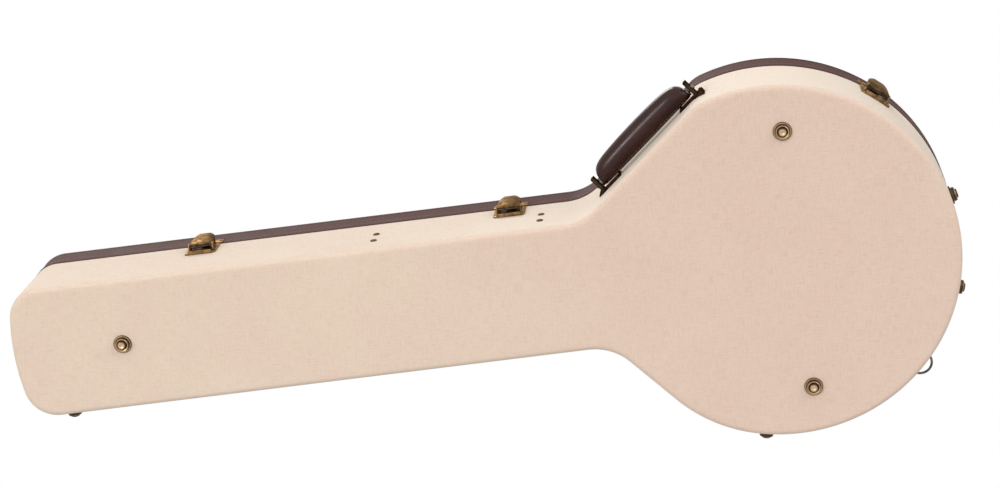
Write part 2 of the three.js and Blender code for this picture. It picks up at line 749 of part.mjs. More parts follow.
function gripEnd(name, side) {
  const inner = gripHalfLength + fitGap;
  const outer = handlePinHalfSpan + handleLugThickness + handlePinOverrun;
  const spans = [[inner, inner + gripEndPlateThickness], [inner, outer]].map((span) => span.map((x) => side * x));
  const [plateSpan, pinSpan] = spans.map((span) => span.sort((a, b) => a - b));
  const cap = barAlongX(gripEndHalfThickness, plateSpan, handleAxisOut, 0);
  const pin = barAlongX(handlePinRadius, pinSpan, handleAxisOut, 0);
  piece(name, joined(cap, pin), brass, handle);
}

gripEnd('handle_pin_drum_end', -1);
gripEnd('handle_pin_waist_end', 1);

// Shoulder strap ring and its clip.

const strap = onDrum(strapRingAngle, strapRingLevel);
const ringSides = 8;
const wireSection = Array.from({ length: ringSides }, (_, i) => {
  const around = heading((fullTurn * (i + 0.5)) / ringSides).multiplyScalar(ringWireRadius);
  return [around.x, around.y];
});
const cornerX = ringHalfWidth - ringCornerRadius;
const cornerY = ringAxisOut + ringCornerRadius;
const ringOutline = stopsAlong([
  { centre: new THREE.Vector2(0, ringAxisOut + ringNeck), radius: ringHalfWidth, from: 0, to: 2 * rightAngle },
  {
    centre: new THREE.Vector2(-cornerX, cornerY),
    radius: ringCornerRadius,
    from: 2 * rightAngle,
    to: 3 * rightAngle,
  },
  { centre: new THREE.Vector2(cornerX, cornerY), radius: ringCornerRadius, from: 3 * rightAngle, to: fullTurn },
]);
piece('strap_ring', band(ringOutline, wireSection), darkSteel, strap);

const clipBore = ringWireRadius + fitGap;
const clipSpan = [-clipHalfWidth, clipHalfWidth];
const clipRivetZ = clipTabHeight - 2 * plateRivetHeadRadius;
const clipShape = joined(
  box(clipSpan, [-clipHalfWidth, clipThickness + fitGap], [0, clipTabHeight]),
  barAlongX(clipBore + clipThickness, clipSpan, ringAxisOut, 0),
);
const clipEye = barAlongX(clipBore, [-ringHalfWidth, ringHalfWidth], ringAxisOut, 0);
const clip = cut(seated(clipShape, strap), clipEye);
piece('strap_ring_clip', riveted(clip, [[0, clipRivetZ]], strap, clipThickness, baseWallHoles), brass, strap);

// Rivets through the walls into the compartment partitions.

const rivetSides = 8;
const rivetDepth = wellInset + partitionRivetGrip;
const rivetShape = rivet(
  partitionRivetHeadRadius,
  partitionRivetHeadHeight,
  partitionRivetShankRadius,
  fitGap,
  rivetDepth,
  rivetSides,
);
const rivetHoles = [];
for (const [end, x] of [['head', headPartitionX], ['drum', drumPartitionX]]) {
  for (const [side, line] of [['latch', latchNeckLine], ['hinge', hingeNeckLine]]) {
    for (const [row, level] of [['low', partitionRivetLowLevel], ['high', partitionRivetHighLevel]]) {
      const place = onNeck(line, x, level);
      piece(`partition_rivet_${end}_${side}_${row}`, rivetShape.clone(), darkSteel, place);
      const hole = shankHole(partitionRivetShankRadius, cutOverrun, rivetDepth + fitGap, rivetSides);
      rivetHoles.push(outOfGroup(hole, place));
    }
  }
}
baseWallHoles.push(...rivetHoles);
liningHoles.push(...rivetHoles);

// Base shell and lining.

const edgeStepShares = [0, 0.25, 0.5, 0.75, 1];
const panelEdge = edgeStepShares.map((share) => {
  const around = heading(share * rightAngle);
  return [panelEdgeRadius * (1 - around.y), panelEdgeRadius * (1 - around.x)];
});
const bottomPanel = slab(outline, [...panelEdge, [0, panelThickness]]);
piece('base_bottom_panel', cut(bottomPanel, ...panelHoles), linen);

const ringSection = (outerInset, innerInset, foot, top) => [
  [outerInset, foot],
  [outerInset, top],
  [innerInset, top],
  [innerInset, foot],
];
const baseWall = band(outline, ringSection(0, wallThickness, wallFoot, baseDepth));
piece('base_side_wall', cut(baseWall, ...baseWallHoles), linen);

const valanceInner = valanceInset + valanceThickness;
piece('base_valance', band(outline, ringSection(valanceInset, valanceInner, valanceFoot, valanceTop)), wrappedBoard);
piece('base_floor_pad', slab(outline, [[liningInset, wallFoot], [liningInset, floorTop]]), plush);
const liningFoot = floorTop + fitGap;
const sideLining = band(outline, ringSection(liningInset, wellInset, liningFoot, valanceFoot - fitGap));
piece('base_side_lining', cut(sideLining, ...liningHoles), plush);

// Accessory compartment and neck rest.

const drumEndHalfWidth = neckHalfWidth(drumPartitionX) - wellInset;
const partitionHalf = partitionThickness / 2;

function partition(name, x) {
  const half = neckHalfWidth(x) - wellInset - fitGap;
  const board = box([x - partitionHalf, x + partitionHalf], [-half, half], [liningFoot, compartmentTop]);
  piece(name, cut(board, ...rivetHoles), wrappedBoard);
}

partition('compartment_partition_head', headPartitionX);
partition('compartment_partition_drum', drumPartitionX);

const insideHeadX = headPartitionX + partitionHalf + fitGap;
const insideDrumX = drumPartitionX - partitionHalf - fitGap;
const boardEndY = drumEndHalfWidth - fitGap;
const flapEdgeY = flapClearance - drumEndHalfWidth;
const flapHingeY = flapEdgeY + flapWidth;
const flapFoot = compartmentTop - flapThickness;
const ledgeTop = flapFoot - fitGap;
const ledgeLevels = [ledgeTop - ledgeDepth, ledgeTop];
const ledgeFrame = joined(
  box([insideHeadX, insideHeadX + ledgeWidth], [flapEdgeY, boardEndY], ledgeLevels),
  box([insideDrumX - ledgeWidth, insideDrumX], [flapEdgeY, boardEndY], ledgeLevels),
  box([insideHeadX, insideDrumX], [flapEdgeY, flapEdgeY + ledgeWidth], ledgeLevels),
);
piece('compartment_ledge', ledgeFrame, wrappedBoard);

// Half of the compartment's top is fixed, and the other half is a flap hinged to it.
const flapLevels = [flapFoot, compartmentTop];
const topBoard = box([insideHeadX, insideDrumX], [flapHingeY + fitGap, boardEndY], flapLevels);
piece('compartment_top_board', topBoard, wrappedBoard);
const flapSpanX = [insideHeadX + flapClearance, insideDrumX - flapClearance];
piece('compartment_flap', box(flapSpanX, [flapEdgeY, flapHingeY], flapLevels), wrappedBoard);
const tabMiddleX = (insideHeadX + insideDrumX) / 2;
const tabFoot = compartmentTop + fitGap;
const pullTab = box(
  [tabMiddleX - pullTabWidth / 2, tabMiddleX + pullTabWidth / 2],
  [flapEdgeY, flapEdgeY + pullTabLength],
  [tabFoot, tabFoot + pullTabThickness],
);
piece('compartment_flap_tab', pullTab, leather);

// A block with a round-bottomed slot that the neck lies in.
function neckRestGeometry() {
  const half = neckHalfWidth(headPartitionX) - wellInset - fitGap;
  const [foot, top] = [liningFoot, liningFoot + neckRestHeight];
  const slotHalf = neckSlotWidth / 2;
  const slotFoot = top - neckSlotDepth;
  const shape = new THREE.Shape();
  shape.moveTo(-half, foot);
  shape.lineTo(half, foot);
  shape.lineTo(half, top);
  shape.lineTo(slotHalf, top);
  shape.absellipse(0, top, slotHalf, top - slotFoot, 0, -2 * rightAngle, true);
  shape.lineTo(-half, top);
  const geometry = new THREE.ExtrudeGeometry(shape, {
    depth: neckRestLength,
    bevelEnabled: false,
    curveSegments: 8,
  });
  const endX = headPartitionX - partitionHalf - fitGap - neckRestLength;
  return geometry.rotateX(rightAngle).rotateZ(rightAngle).translate(endX, 0, 0);
}
piece('neck_rest', neckRestGeometry(), plush);

// Lid shell and lining.

const rim = band(outline, ringSection(0, wallThickness, seam, rimTop));
piece('lid_rim', cut(rim, ...rimHoles), leatherette);

const bindingFoot = rimTop + fitGap;
const bindingHeight = lidEdgeTop - bindingFoot;
const bindingSection = [
  [0, bindingFoot],
  [-bindingBulge, bindingFoot + bindingHeight / 2],
  [bindingWidth / 4, lidEdgeTop],
  [bindingWidth / 2, lidEdgeTop + bindingBulge],
  [bindingWidth, lidEdgeTop],
  [bindingWidth, bindingFoot],
];
piece('lid_edge_binding', band(outline, bindingSection), leatherette);

// The top panel rises from its edge to a flat middle.
const archStepShares = [0, 0.25, 0.55, 1];
const archRise = (share) => lidArch * Math.sin(share * rightAngle);
const archRing = (share, drop) => [lidPanelInset + share * lidArchWidth, lidEdgeTop + archRise(share) - drop];
const panelUnderside = archStepShares.map((share) => archRing(share, lidPanelThickness)).reverse();
const panelTop = archStepShares.map((share) => archRing(share, 0));
piece('lid_top_panel', slab(outline, [...panelUnderside, ...panelTop]), linen);

const padEdgeShare = (liningInset - lidPanelInset) / lidArchWidth;
const padTop = [padEdgeShare, ...archStepShares.slice(1)].map((share) => archRing(share, lidPanelThickness + fitGap));
piece('lid_ceiling_pad', slab(outline, [[liningInset, ceilingFoot], ...padTop]), plush);
const lidLiningInner = liningInset + lidLiningThickness;
const lidLining = ringSection(liningInset, lidLiningInner, lidLiningFoot, ceilingFoot - fitGap);
piece('lid_side_lining', band(outline, lidLining), plush);

// The origin is the middle of the underside, on the surface the feet stand on.
const extent = new THREE.Box3().setFromObject(bench);
const middle = extent.getCenter(new THREE.Vector3());
bench.position.set(-middle.x, -middle.y, -extent.min.z);

const banjoCase = new THREE.Group();
banjoCase.add(bench);
banjoCase.updateMatrixWorld(true);

// Where each moving group turns: a point on its axis and the axis, positive for opening.
const pivotOn = (group, y, z, sign) => ({
  point: group.localToWorld(new THREE.Vector3(0, y, z)).toArray(),
  axis: new THREE.Vector3(sign, 0, 0).transformDirection(group.matrixWorld).toArray(),
});
banjoCase.userData.pivots = {
  lid: pivotOn(drumHinge, hingeAxisOut, seamGap / 2, -1),
  compartmentFlap: pivotOn(bench, flapHingeY, compartmentTop, -1),
  headLatch: pivotOn(headLatch, latchPivotOut, pivotZ, -1),
  waistLatch: pivotOn(waistLatch, latchPivotOut, pivotZ, -1),
  drumLatch: pivotOn(drumLatch, latchPivotOut, pivotZ, -1),
  handle: pivotOn(handle, handleAxisOut, 0, 1),
  strapRing: pivotOn(strap, ringAxisOut, 0, 1),
};

export default banjoCase;
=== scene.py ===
import json
import math

import bmesh
import bpy
from mathutils import Euler, Matrix, Vector


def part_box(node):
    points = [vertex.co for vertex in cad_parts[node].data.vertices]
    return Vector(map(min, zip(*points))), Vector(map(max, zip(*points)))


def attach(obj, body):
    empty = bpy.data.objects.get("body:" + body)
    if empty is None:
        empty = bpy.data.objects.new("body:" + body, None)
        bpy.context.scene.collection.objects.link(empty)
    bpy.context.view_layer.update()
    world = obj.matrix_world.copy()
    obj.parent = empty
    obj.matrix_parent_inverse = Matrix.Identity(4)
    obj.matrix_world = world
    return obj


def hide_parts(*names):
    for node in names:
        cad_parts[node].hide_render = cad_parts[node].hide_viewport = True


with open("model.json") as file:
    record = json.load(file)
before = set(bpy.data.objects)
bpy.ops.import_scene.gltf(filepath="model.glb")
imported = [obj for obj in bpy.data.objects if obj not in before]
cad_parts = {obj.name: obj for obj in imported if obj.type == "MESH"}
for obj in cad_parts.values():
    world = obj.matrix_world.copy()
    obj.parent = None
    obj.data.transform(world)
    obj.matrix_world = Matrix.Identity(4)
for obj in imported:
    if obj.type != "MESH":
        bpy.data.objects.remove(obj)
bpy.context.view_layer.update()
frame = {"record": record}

# The camera, as the photograph was taken: from below and in front of the latches, with a
# long lens, looking up at the underside of the case.
camera_place = Vector((0.3417, -0.7761, -2.7318))
camera_turn = Euler([math.radians(turn) for turn in (164.669, -4.197, 8.460)])
photo_lens = 92.03

camera = bpy.data.objects.new("camera", bpy.data.cameras.new("camera"))
camera.data.lens = photo_lens
camera.matrix_world = Matrix.LocRotScale(camera_place, camera_turn, None)
bpy.context.scene.collection.objects.link(camera)
bpy.context.scene.camera = camera
bpy.context.scene.view_settings.view_transform = "Standard"
# The light: an even white sky, three soft lamps from below for the side that the photograph
# shows, and a soft lamp from above for the lid. The sky shows as plain white.


def add_node(tree, kind, links=(), **values):
    """A node with its values set by property or socket name, and its inputs joined."""
    node = tree.nodes.new(kind)
    for key, value in values.items():
        if hasattr(node, key):
            setattr(node, key, value)
        else:
            node.inputs[key.replace("_", " ").title()].default_value = value
    for socket, source in links:
        tree.links.new(source, node.inputs[socket])
    return node


def arithmetic(tree, operation, *terms, clamp=False):
    """What a Math node makes of its terms, each a plain number or a node's output."""
    node = add_node(tree, "ShaderNodeMath", operation=operation, use_clamp=clamp)
    for socket, term in zip(node.inputs, terms):
        if isinstance(term, (int, float)):
            socket.default_value = term
        else:
            tree.links.new(term, socket)
    return node.outputs[0]


sky_strength = 0.56
world = bpy.data.worlds.new("studio")
bpy.context.scene.world = world
world.use_nodes = True
sky_tree = world.node_tree
sky = sky_tree.nodes["Background"]
sky.inputs["Color"].default_value = (0.97, 0.98, 1.0, 1)
sky.inputs["Strength"].default_value = sky_strength
backdrop = add_node(sky_tree, "ShaderNodeBackground")
backdrop.inputs["Color"].default_value = (1, 1, 1, 1)
ray = add_node(sky_tree, "ShaderNodeLightPath").outputs
seen = arithmetic(sky_tree, "MAXIMUM", ray["Is Camera Ray"], ray["Is Glossy Ray"])
through = arithmetic(sky_tree, "MAXIMUM", seen, ray["Is Transmission Ray"])
choice = add_node(
    sky_tree, "ShaderNodeMixShader", [(0, through), (1, sky.outputs[0]), (2, backdrop.outputs[0])]
)
sky_tree.links.new(choice.outputs[0], sky_tree.nodes["World Output"].inputs["Surface"])


def soft_lamp(name, towards, strength, spread):
    """A distant soft lamp that stands in the direction given."""
    lamp = bpy.data.lights.new(name, "SUN")
    lamp.energy = strength
    lamp.angle = math.radians(spread)
    holder = bpy.data.objects.new(name, lamp)
    holder.rotation_euler = Vector(towards).to_track_quat("Z", "Y").to_euler()
    bpy.context.scene.collection.objects.link(holder)


soft_lamp("lamp_below", (-0.55, -0.35, -0.76), 0.9, 12)
soft_lamp("lamp_below_wide", (-0.1, -0.7, -0.7), 0.85, 100)
soft_lamp("lamp_drum_end", (0.85, -0.6, -0.25), 0.9, 40)
soft_lamp("lamp_above", (-0.35, -0.55, 0.8), 1.35, 24)

# The floor under the feet: plain and pale. Only its upper side shows, and it casts no
# shade upwards, so the underside of the case is lit as it was in the photograph.
floor_half_width = 9
floor_drop = 0.0002
floor_mesh = bmesh.new()
bmesh.ops.create_grid(floor_mesh, x_segments=1, y_segments=1, size=floor_half_width)
floor_data = bpy.data.meshes.new("floor")
floor_mesh.to_mesh(floor_data)
floor_mesh.free()
floor = bpy.data.objects.new("floor", floor_data)
floor.location.z = -floor_drop
bpy.context.scene.collection.objects.link(floor)


def new_material(name, roughness, metallic=0.0):
    """A material with its shader, and the tree to build its pattern in."""
    material = bpy.data.materials.new(name)
    material.use_nodes = True
    shader = material.node_tree.nodes["Principled BSDF"]
    shader.inputs["Roughness"].default_value = roughness
    shader.inputs["Metallic"].default_value = metallic
    return material, material.node_tree, shader


floor_paint, paint_tree, pale = new_material("floor_paint", 0.9)
pale.inputs["Base Color"].default_value = (0.9, 0.89, 0.87, 1)
clear = add_node(paint_tree, "ShaderNodeBsdfTransparent")
ray = add_node(paint_tree, "ShaderNodeLightPath").outputs
side = add_node(paint_tree, "ShaderNodeNewGeometry").outputs
upper = arithmetic(paint_tree, "SUBTRACT", ray["Is Camera Ray"], side["Backfacing"], clamp=True)
mix = add_node(
    paint_tree, "ShaderNodeMixShader", [(0, upper), (1, clear.outputs[0]), (2, pale.outputs[0])]
)
paint_tree.links.new(mix.outputs[0], paint_tree.nodes["Material Output"].inputs["Surface"])
floor_data.materials.append(floor_paint)

# The plan of the case: a round drum with a flat shoulder for the handle and a softer one
# opposite, a slightly flared neck and a bowed head end. Every ring of the shell follows it.
drum_radius = 0.202
case_length = 1.080
waist_half_width = 0.0744
end_half_width = 0.0772
end_radius = 0.272
corner_radius = 0.038
waist_radius = 0.060
flat_inset = 0.0115
flat_angle = math.radians(-129.5)
flat_blend_radius = 0.040
hinge_flat_inset = 0.006
hinge_flat_angle = math.radians(138)
hinge_blend_radius = 0.170
foot_height = 0.008
RIGHT_ANGLE = math.pi / 2
FULL_TURN = 2 * math.pi

cad_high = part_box("base_side_wall")[1]
drum_centre = Vector((cad_high[0] - drum_radius, cad_high[1] - drum_radius))


def heading(angle):
    """A step of length one in that direction."""
    return Vector((math.cos(angle), math.sin(angle)))


def angle_of(step):
    """The direction of a step, from zero to a full turn."""
    return math.atan2(step.y, step.x) % FULL_TURN


def over_line_and_centre(normal, reach, distance, centre, side):
    """The point that far from a centre and that far over a line, nearest the side given."""
    rise = reach - normal.dot(centre)
    along = math.sqrt(distance * distance - rise * rise)
    foot = centre + normal * rise
    step = Vector((-normal.y, normal.x)) * along
    return max((foot + step, foot - step), key=lambda point: point.dot(side))


middle = Vector((0, 0))
headwards = Vector((-1, 0))
head_x = drum_radius - case_length
taper = math.atan2(end_half_width - waist_half_width, -drum_radius - head_x)
neck_angle = RIGHT_ANGLE - taper
neck_normal = heading(neck_angle)
neck_reach = neck_normal.dot(Vector((-drum_radius, waist_half_width)))
flat_normal = heading(flat_angle)
flat_reach = drum_radius - flat_inset
hinge_flat_normal = heading(hinge_flat_angle)
hinge_flat_reach = drum_radius - hinge_flat_inset

end_centre = Vector((head_x + end_radius, 0))
hinge_corner = over_line_and_centre(
    neck_normal, neck_reach - corner_radius, end_radius - corner_radius, end_centre, headwards
)
latch_corner = Vector((hinge_corner.x, -hinge_corner.y))
flat_blend = over_line_and_centre(
    flat_normal, flat_reach - flat_blend_radius, drum_radius - flat_blend_radius, middle, -headwards
)
hinge_blend = over_line_and_centre(
    hinge_flat_normal,
    hinge_flat_reach - hinge_blend_radius,
    drum_radius - hinge_blend_radius,
    middle,
    -headwards,
)


def waist_centre(neck_side, shoulder, shoulder_reach):
    """The centre of the hollow curve that joins a neck wall to a flat shoulder."""
    reach = neck_reach + waist_radius
    far = shoulder_reach + waist_radius
    crossing = neck_side.cross(shoulder)
    return Vector(
        (
            (reach * shoulder.y - far * neck_side.y) / crossing,
            (neck_side.x * far - reach * shoulder.x) / crossing,
        )
    )


hinge_waist = waist_centre(neck_normal, hinge_flat_normal, hinge_flat_reach)
latch_normal = Vector((neck_normal.x, -neck_normal.y))
latch_waist = waist_centre(latch_normal, flat_normal, flat_reach)
corner_turn = angle_of(hinge_corner - end_centre)
blend_turn = angle_of(flat_blend)
hinge_blend_turn = angle_of(hinge_blend)

# Each arc is its centre, radius, first and last direction, and number of steps. A
# negative radius curves in.
plan_arcs = [
    (middle, drum_radius, blend_turn - FULL_TURN, hinge_blend_turn, 110),
    (hinge_blend, hinge_blend_radius, hinge_blend_turn, hinge_flat_angle, 16),
    (hinge_waist, -waist_radius, hinge_flat_angle, neck_angle, 16),
    (hinge_corner, corner_radius, neck_angle, corner_turn, 14),
    (end_centre, end_radius, corner_turn, FULL_TURN - corner_turn, 10),
    (latch_corner, corner_radius, FULL_TURN - corner_turn, FULL_TURN - neck_angle, 14),
    (latch_waist, -waist_radius, FULL_TURN - neck_angle, flat_angle + FULL_TURN, 14),
    (flat_blend, flat_blend_radius, flat_angle + FULL_TURN, blend_turn, 10),
]


def trace_plan(mesh, inset, height):
    """One ring of points round the case, that far inside the outer face of its walls."""
    ring = []
    for centre, radius, start, end, steps in plan_arcs:
        pivot = drum_centre + centre
        point = pivot + heading(start) * (radius - inset)
        arc = [mesh.verts.new((point.x, point.y, height))]
        swept = bmesh.ops.spin(
            mesh,
            geom=arc[:],
            cent=(pivot.x, pivot.y, height),
            axis=(0, 0, 1),
            angle=end - start,
            steps=steps,
        )
        while arc[-1] != swept["geom_last"][0]:
            ends = [edge.other_vert(arc[-1]) for edge in arc[-1].link_edges]
            arc += [vert for vert in ends if vert not in arc[-2:]]
        if ring:
            mesh.edges.new((ring[-1], arc[0]))
        ring += arc
    mesh.edges.new((ring[-1], ring[0]))
    return ring


def ring_edges(mesh, ring):
    """The edges that join a ring of points."""
    return [mesh.edges.get(pair) for pair in zip(ring, ring[1:] + ring[:1])]


def sweep_round(profile, closed):
    """A mesh with a ring of the plan for each inset and height, joined in order.

    Rings in one plane would be joined across the case, so the rings stand well apart in
    height while they are joined, and then go to their places. An open sweep is capped.
    """
    ring_spacing = 0.05
    mesh = bmesh.new()
    rings = [trace_plan(mesh, place[0], number * ring_spacing) for number, place in enumerate(profile)]
    pairs = list(zip(rings, rings[1:]))
    if closed:
        pairs.append((rings[-1], rings[0]))
    for one, other in pairs:
        bmesh.ops.bridge_loops(mesh, edges=ring_edges(mesh, one) + ring_edges(mesh, other))
    for ring, (inset, height) in zip(rings, profile):
        for vert in ring:
            vert.co.z = height
    if not closed:
        for ring in (rings[0], rings[-1]):
            bmesh.ops.contextual_create(mesh, geom=ring_edges(mesh, ring))
    return mesh


# Woven cloth: two sets of threads that cross, uneven in colour and thickness, with
# slubs where the flax was spun thick. The linen of the base and of the lid uses it.
FLOAT, VECTOR = "NodeSocketFloat", "NodeSocketVector"


def new_group(name, inputs, outputs):
    """An empty shader group with named sockets. Returns the group, its way in and way out."""
    group = bpy.data.node_groups.new(name, "ShaderNodeTree")
    for label, kind, value in inputs:
        socket = group.interface.new_socket(name=label, in_out="INPUT", socket_type=kind)
        if value is not None:
            socket.default_value = value
    for label, kind in outputs:
        group.interface.new_socket(name=label, in_out="OUTPUT", socket_type=kind)
    way_in = group.nodes.new("NodeGroupInput")
    way_out = group.nodes.new("NodeGroupOutput")
    return group, way_in, way_out


def mapped(tree, value, **limits):
    """A value carried from one range to another. Limits that aren't given are zero and one."""
    return add_node(tree, "ShaderNodeMapRange", [("Value", value)], **limits).outputs[0]


weave, weave_in, weave_out = new_group(
    "Woven threads",
    [
        ("Place", VECTOR, None),
        ("Threads per metre", FLOAT, 900.0),
        ("Unevenness", FLOAT, 0.5),
    ],
    [("Height", FLOAT), ("Shade", FLOAT), ("Slubs", FLOAT)],
)
streaks_across = 900
streaks_along = 70
split = add_node(weave, "ShaderNodeSeparateXYZ", [("Vector", weave_in.outputs["Place"])]).outputs
threads = []
slubs = []
for across, along in (("X", "Y"), ("Y", "X")):
    turn = arithmetic(weave, "MULTIPLY", split[across], weave_in.outputs["Threads per metre"])
    waves = arithmetic(weave, "MULTIPLY", turn, math.pi)
    threads.append(arithmetic(weave, "ABSOLUTE", arithmetic(weave, "SINE", waves)))
    fine = arithmetic(weave, "MULTIPLY", split[across], streaks_across)
    slow = arithmetic(weave, "MULTIPLY", split[along], streaks_along)
    stretch = add_node(weave, "ShaderNodeCombineXYZ", [("X", fine), ("Y", slow)])
    streak = add_node(
        weave,
        "ShaderNodeTexNoise",
        [("Vector", stretch.outputs[0])],
        noise_dimensions="2D",
        scale=1.0,
        detail=3.0,
        roughness=0.6,
    )
    slubs.append(streak.outputs[0])
over = arithmetic(weave, "MAXIMUM", *threads)
half = arithmetic(weave, "MULTIPLY", arithmetic(weave, "ADD", *slubs), 0.5)
uneven = arithmetic(weave, "MULTIPLY", half, weave_in.outputs["Unevenness"])
raised = arithmetic(weave, "ADD", over, uneven)
shaded = mapped(weave, half, from_min=0.36, from_max=0.64)
knots = mapped(weave, half, from_min=0.58, from_max=0.70)
weave.links.new(raised, weave_out.inputs["Height"])
weave.links.new(shaded, weave_out.inputs["Shade"])
weave.links.new(knots, weave_out.inputs["Slubs"])

# Soft patches of colour, from dye, dust and handling, that keep any surface from being
# one flat tone.
patches, patches_in, patches_out = new_group(
    "Soft patches",
    [("Place", VECTOR, None), ("Size", FLOAT, 20.0), ("Contrast", FLOAT, 1.0)],
    [("Shade", FLOAT)],
)
cloud = add_node(
    patches,
    "ShaderNodeTexNoise",
    [("Vector", patches_in.outputs["Place"]), ("Scale", patches_in.outputs["Size"])],
    detail=4.0,
    roughness=0.55,
)
centred = arithmetic(patches, "SUBTRACT", cloud.outputs[0], 0.5)
spread = arithmetic(patches, "MULTIPLY", centred, patches_in.outputs["Contrast"])
settled = arithmetic(patches, "ADD", spread, 0.5, clamp=True)
patches.links.new(settled, patches_out.inputs["Shade"])

# The linen: undyed cloth glued over plywood. It is warm and pale, pinker and a little darker
# under the drum than under the neck, with darker thread ends and slubs. Up the walls, and on
# the lid's top, it is greyer: painted light, for the way the lamps fall on the walls.


def place_of(tree):
    """Where a point lies on the piece, in metres."""
    return add_node(tree, "ShaderNodeTexCoord").outputs["Object"]


def use_group(tree, group, place, **values):
    """A shader group in this material, at this place, with its own values."""
    node = tree.nodes.new("ShaderNodeGroup")
    node.node_tree = group
    tree.links.new(place, node.inputs["Place"])
    for key, value in values.items():
        node.inputs[key.replace("_", " ")].default_value = value
    return node


def blend_colours(tree, share, low, high):
    """A colour between two, by a share that is plain or changes over the surface."""
    mixed = add_node(tree, "ShaderNodeMix", data_type="RGBA")
    if isinstance(share, float):
        mixed.inputs["Factor"].default_value = share
    else:
        tree.links.new(share, mixed.inputs["Factor"])
    for label, value in (("A", low), ("B", high)):
        socket = [pin for pin in mixed.inputs if pin.name == label and pin.type == "RGBA"][0]
        if isinstance(value, tuple):
            socket.default_value = (*value, 1)
        else:
            tree.links.new(value, socket)
    return [pin for pin in mixed.outputs if pin.type == "RGBA"][0]


def raise_surface(tree, shader, height, depth, strength):
    """Bumps the surface by a height that changes over it. Depth is in metres."""
    bump = add_node(tree, "ShaderNodeBump", [("Height", height)], distance=depth, strength=strength)
    tree.links.new(bump.outputs[0], shader.inputs["Normal"])


linen, linen_tree, linen_shader = new_material("linen", 0.92)
laid = add_node(linen_tree, "ShaderNodeUVMap", uv_map="cloth").outputs["UV"]
linen_weave = use_group(linen_tree, weave, laid, Threads_per_metre=760.0, Unevenness=0.9).outputs
linen_clouds = use_group(linen_tree, patches, place_of(linen_tree), Size=9.0, Contrast=0.9)
along_case = add_node(linen_tree, "ShaderNodeSeparateXYZ", [("Vector", place_of(linen_tree))]).outputs
pinker = mapped(linen_tree, along_case["X"], from_min=-0.15, from_max=0.30, to_min=-0.15, to_max=0.45)
cloth_share = arithmetic(linen_tree, "ADD", pinker, linen_clouds.outputs["Shade"], clamp=True)
bottom_tone = blend_colours(linen_tree, cloth_share, (0.825, 0.675, 0.520), (0.760, 0.552, 0.437))
# The walls' tone is painted light: the same cloth, coloured as the walls are lit.
wall_painted_light_tone = blend_colours(linen_tree, cloth_share, (0.668, 0.524, 0.403), (0.775, 0.662, 0.540))
walls_painted_light_share = mapped(linen_tree, along_case["Z"], from_min=0.0085, from_max=0.0135)
cloth_tone = blend_colours(linen_tree, walls_painted_light_share, bottom_tone, wall_painted_light_tone)
thread_tone = blend_colours(linen_tree, linen_weave["Shade"], (0.50, 0.37, 0.28), (0.98, 0.83, 0.71))
threaded_tone = blend_colours(linen_tree, 0.22, cloth_tone, thread_tone)
slub_share = arithmetic(linen_tree, "MULTIPLY", linen_weave["Slubs"], 0.35)
linen_tone = blend_colours(linen_tree, slub_share, threaded_tone, (0.42, 0.29, 0.20))
linen_tree.links.new(linen_tone, linen_shader.inputs["Base Color"])
linen_shader.inputs["Specular IOR Level"].default_value = 0.25
linen_shader.inputs["Sheen Weight"].default_value = 0.1
linen_shader.inputs["Sheen Roughness"].default_value = 0.6
raise_surface(linen_tree, linen_shader, linen_weave["Height"], 0.0005, 0.55)

# The base: a plywood tray covered in linen. The cloth is drawn round the rounded bottom
# edge in one piece and turned in over the top of the walls.
base_depth = 0.106
wall_thickness = 0.006
panel_thickness = 0.007
edge_radius = 0.0065
edge_margin = 0.004
wall_lip = 0.001
neck_from_drum = -0.17


def rounded_corner(inset, height, radius, start, end, steps=5):
    """The points of a quarter round in a profile, about a centre at that inset and height."""
    points = []
    for step in range(steps + 1):
        turn = math.radians(start + (end - start) * step / steps)
        points.append((inset + radius * math.cos(turn), height + radius * math.sin(turn)))
    return points


def piece(name, mesh, material, body, slot, *nodes, smooth_angle=35):
    """Makes the finished piece: it rides on a body and stands for the CAD nodes named."""
    bmesh.ops.recalc_face_normals(mesh, faces=mesh.faces)
    data = bpy.data.meshes.new(name)
    mesh.to_mesh(data)
    mesh.free()
    data.shade_smooth()
    data.set_sharp_from_angle(angle=math.radians(smooth_angle))
    data.materials.append(material)
    obj = bpy.data.objects.new(name, data)
    bpy.context.scene.collection.objects.link(obj)
    if nodes:
        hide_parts(*nodes)
    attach(obj, body)
    return obj


def lay_cloth(mesh):
    """Gives a swept piece a cloth map in metres: flat on its faces, and along its walls."""
    cloth = mesh.loops.layers.uv.new("cloth")
    for face in mesh.faces:
        lies_flat = abs(face.normal.z) > 0.7
        for loop in face.loops:
            place = loop.vert.co
            x, y = place.x - drum_centre.x, place.y - drum_centre.y
            if lies_flat:
                loop[cloth].uv = (x, y)
            elif face.calc_center_median().x - drum_centre.x > neck_from_drum:
                loop[cloth].uv = (drum_radius * math.atan2(y, x), place.z)
            else:
                loop[cloth].uv = (x, place.z)


base_foot = foot_height
base_top = foot_height + base_depth
tray_profile = [(edge_radius + edge_margin, base_foot)]
tray_profile += rounded_corner(edge_radius, base_foot + edge_radius, edge_radius, -90, -180, steps=7)
tray_profile += rounded_corner(wall_lip, base_top - wall_lip, wall_lip, 180, 90, steps=3)
tray_profile += rounded_corner(wall_thickness - wall_lip, base_top - wall_lip, wall_lip, 90, 0, steps=3)
tray_profile += [(wall_thickness, base_foot + panel_thickness)]

tray = sweep_round(tray_profile, closed=False)
bmesh.ops.recalc_face_normals(tray, faces=tray.faces)
lay_cloth(tray)
piece("base_tray", tray, linen, "base", "linen_covered_ply", "base_bottom_panel", "base_side_wall")
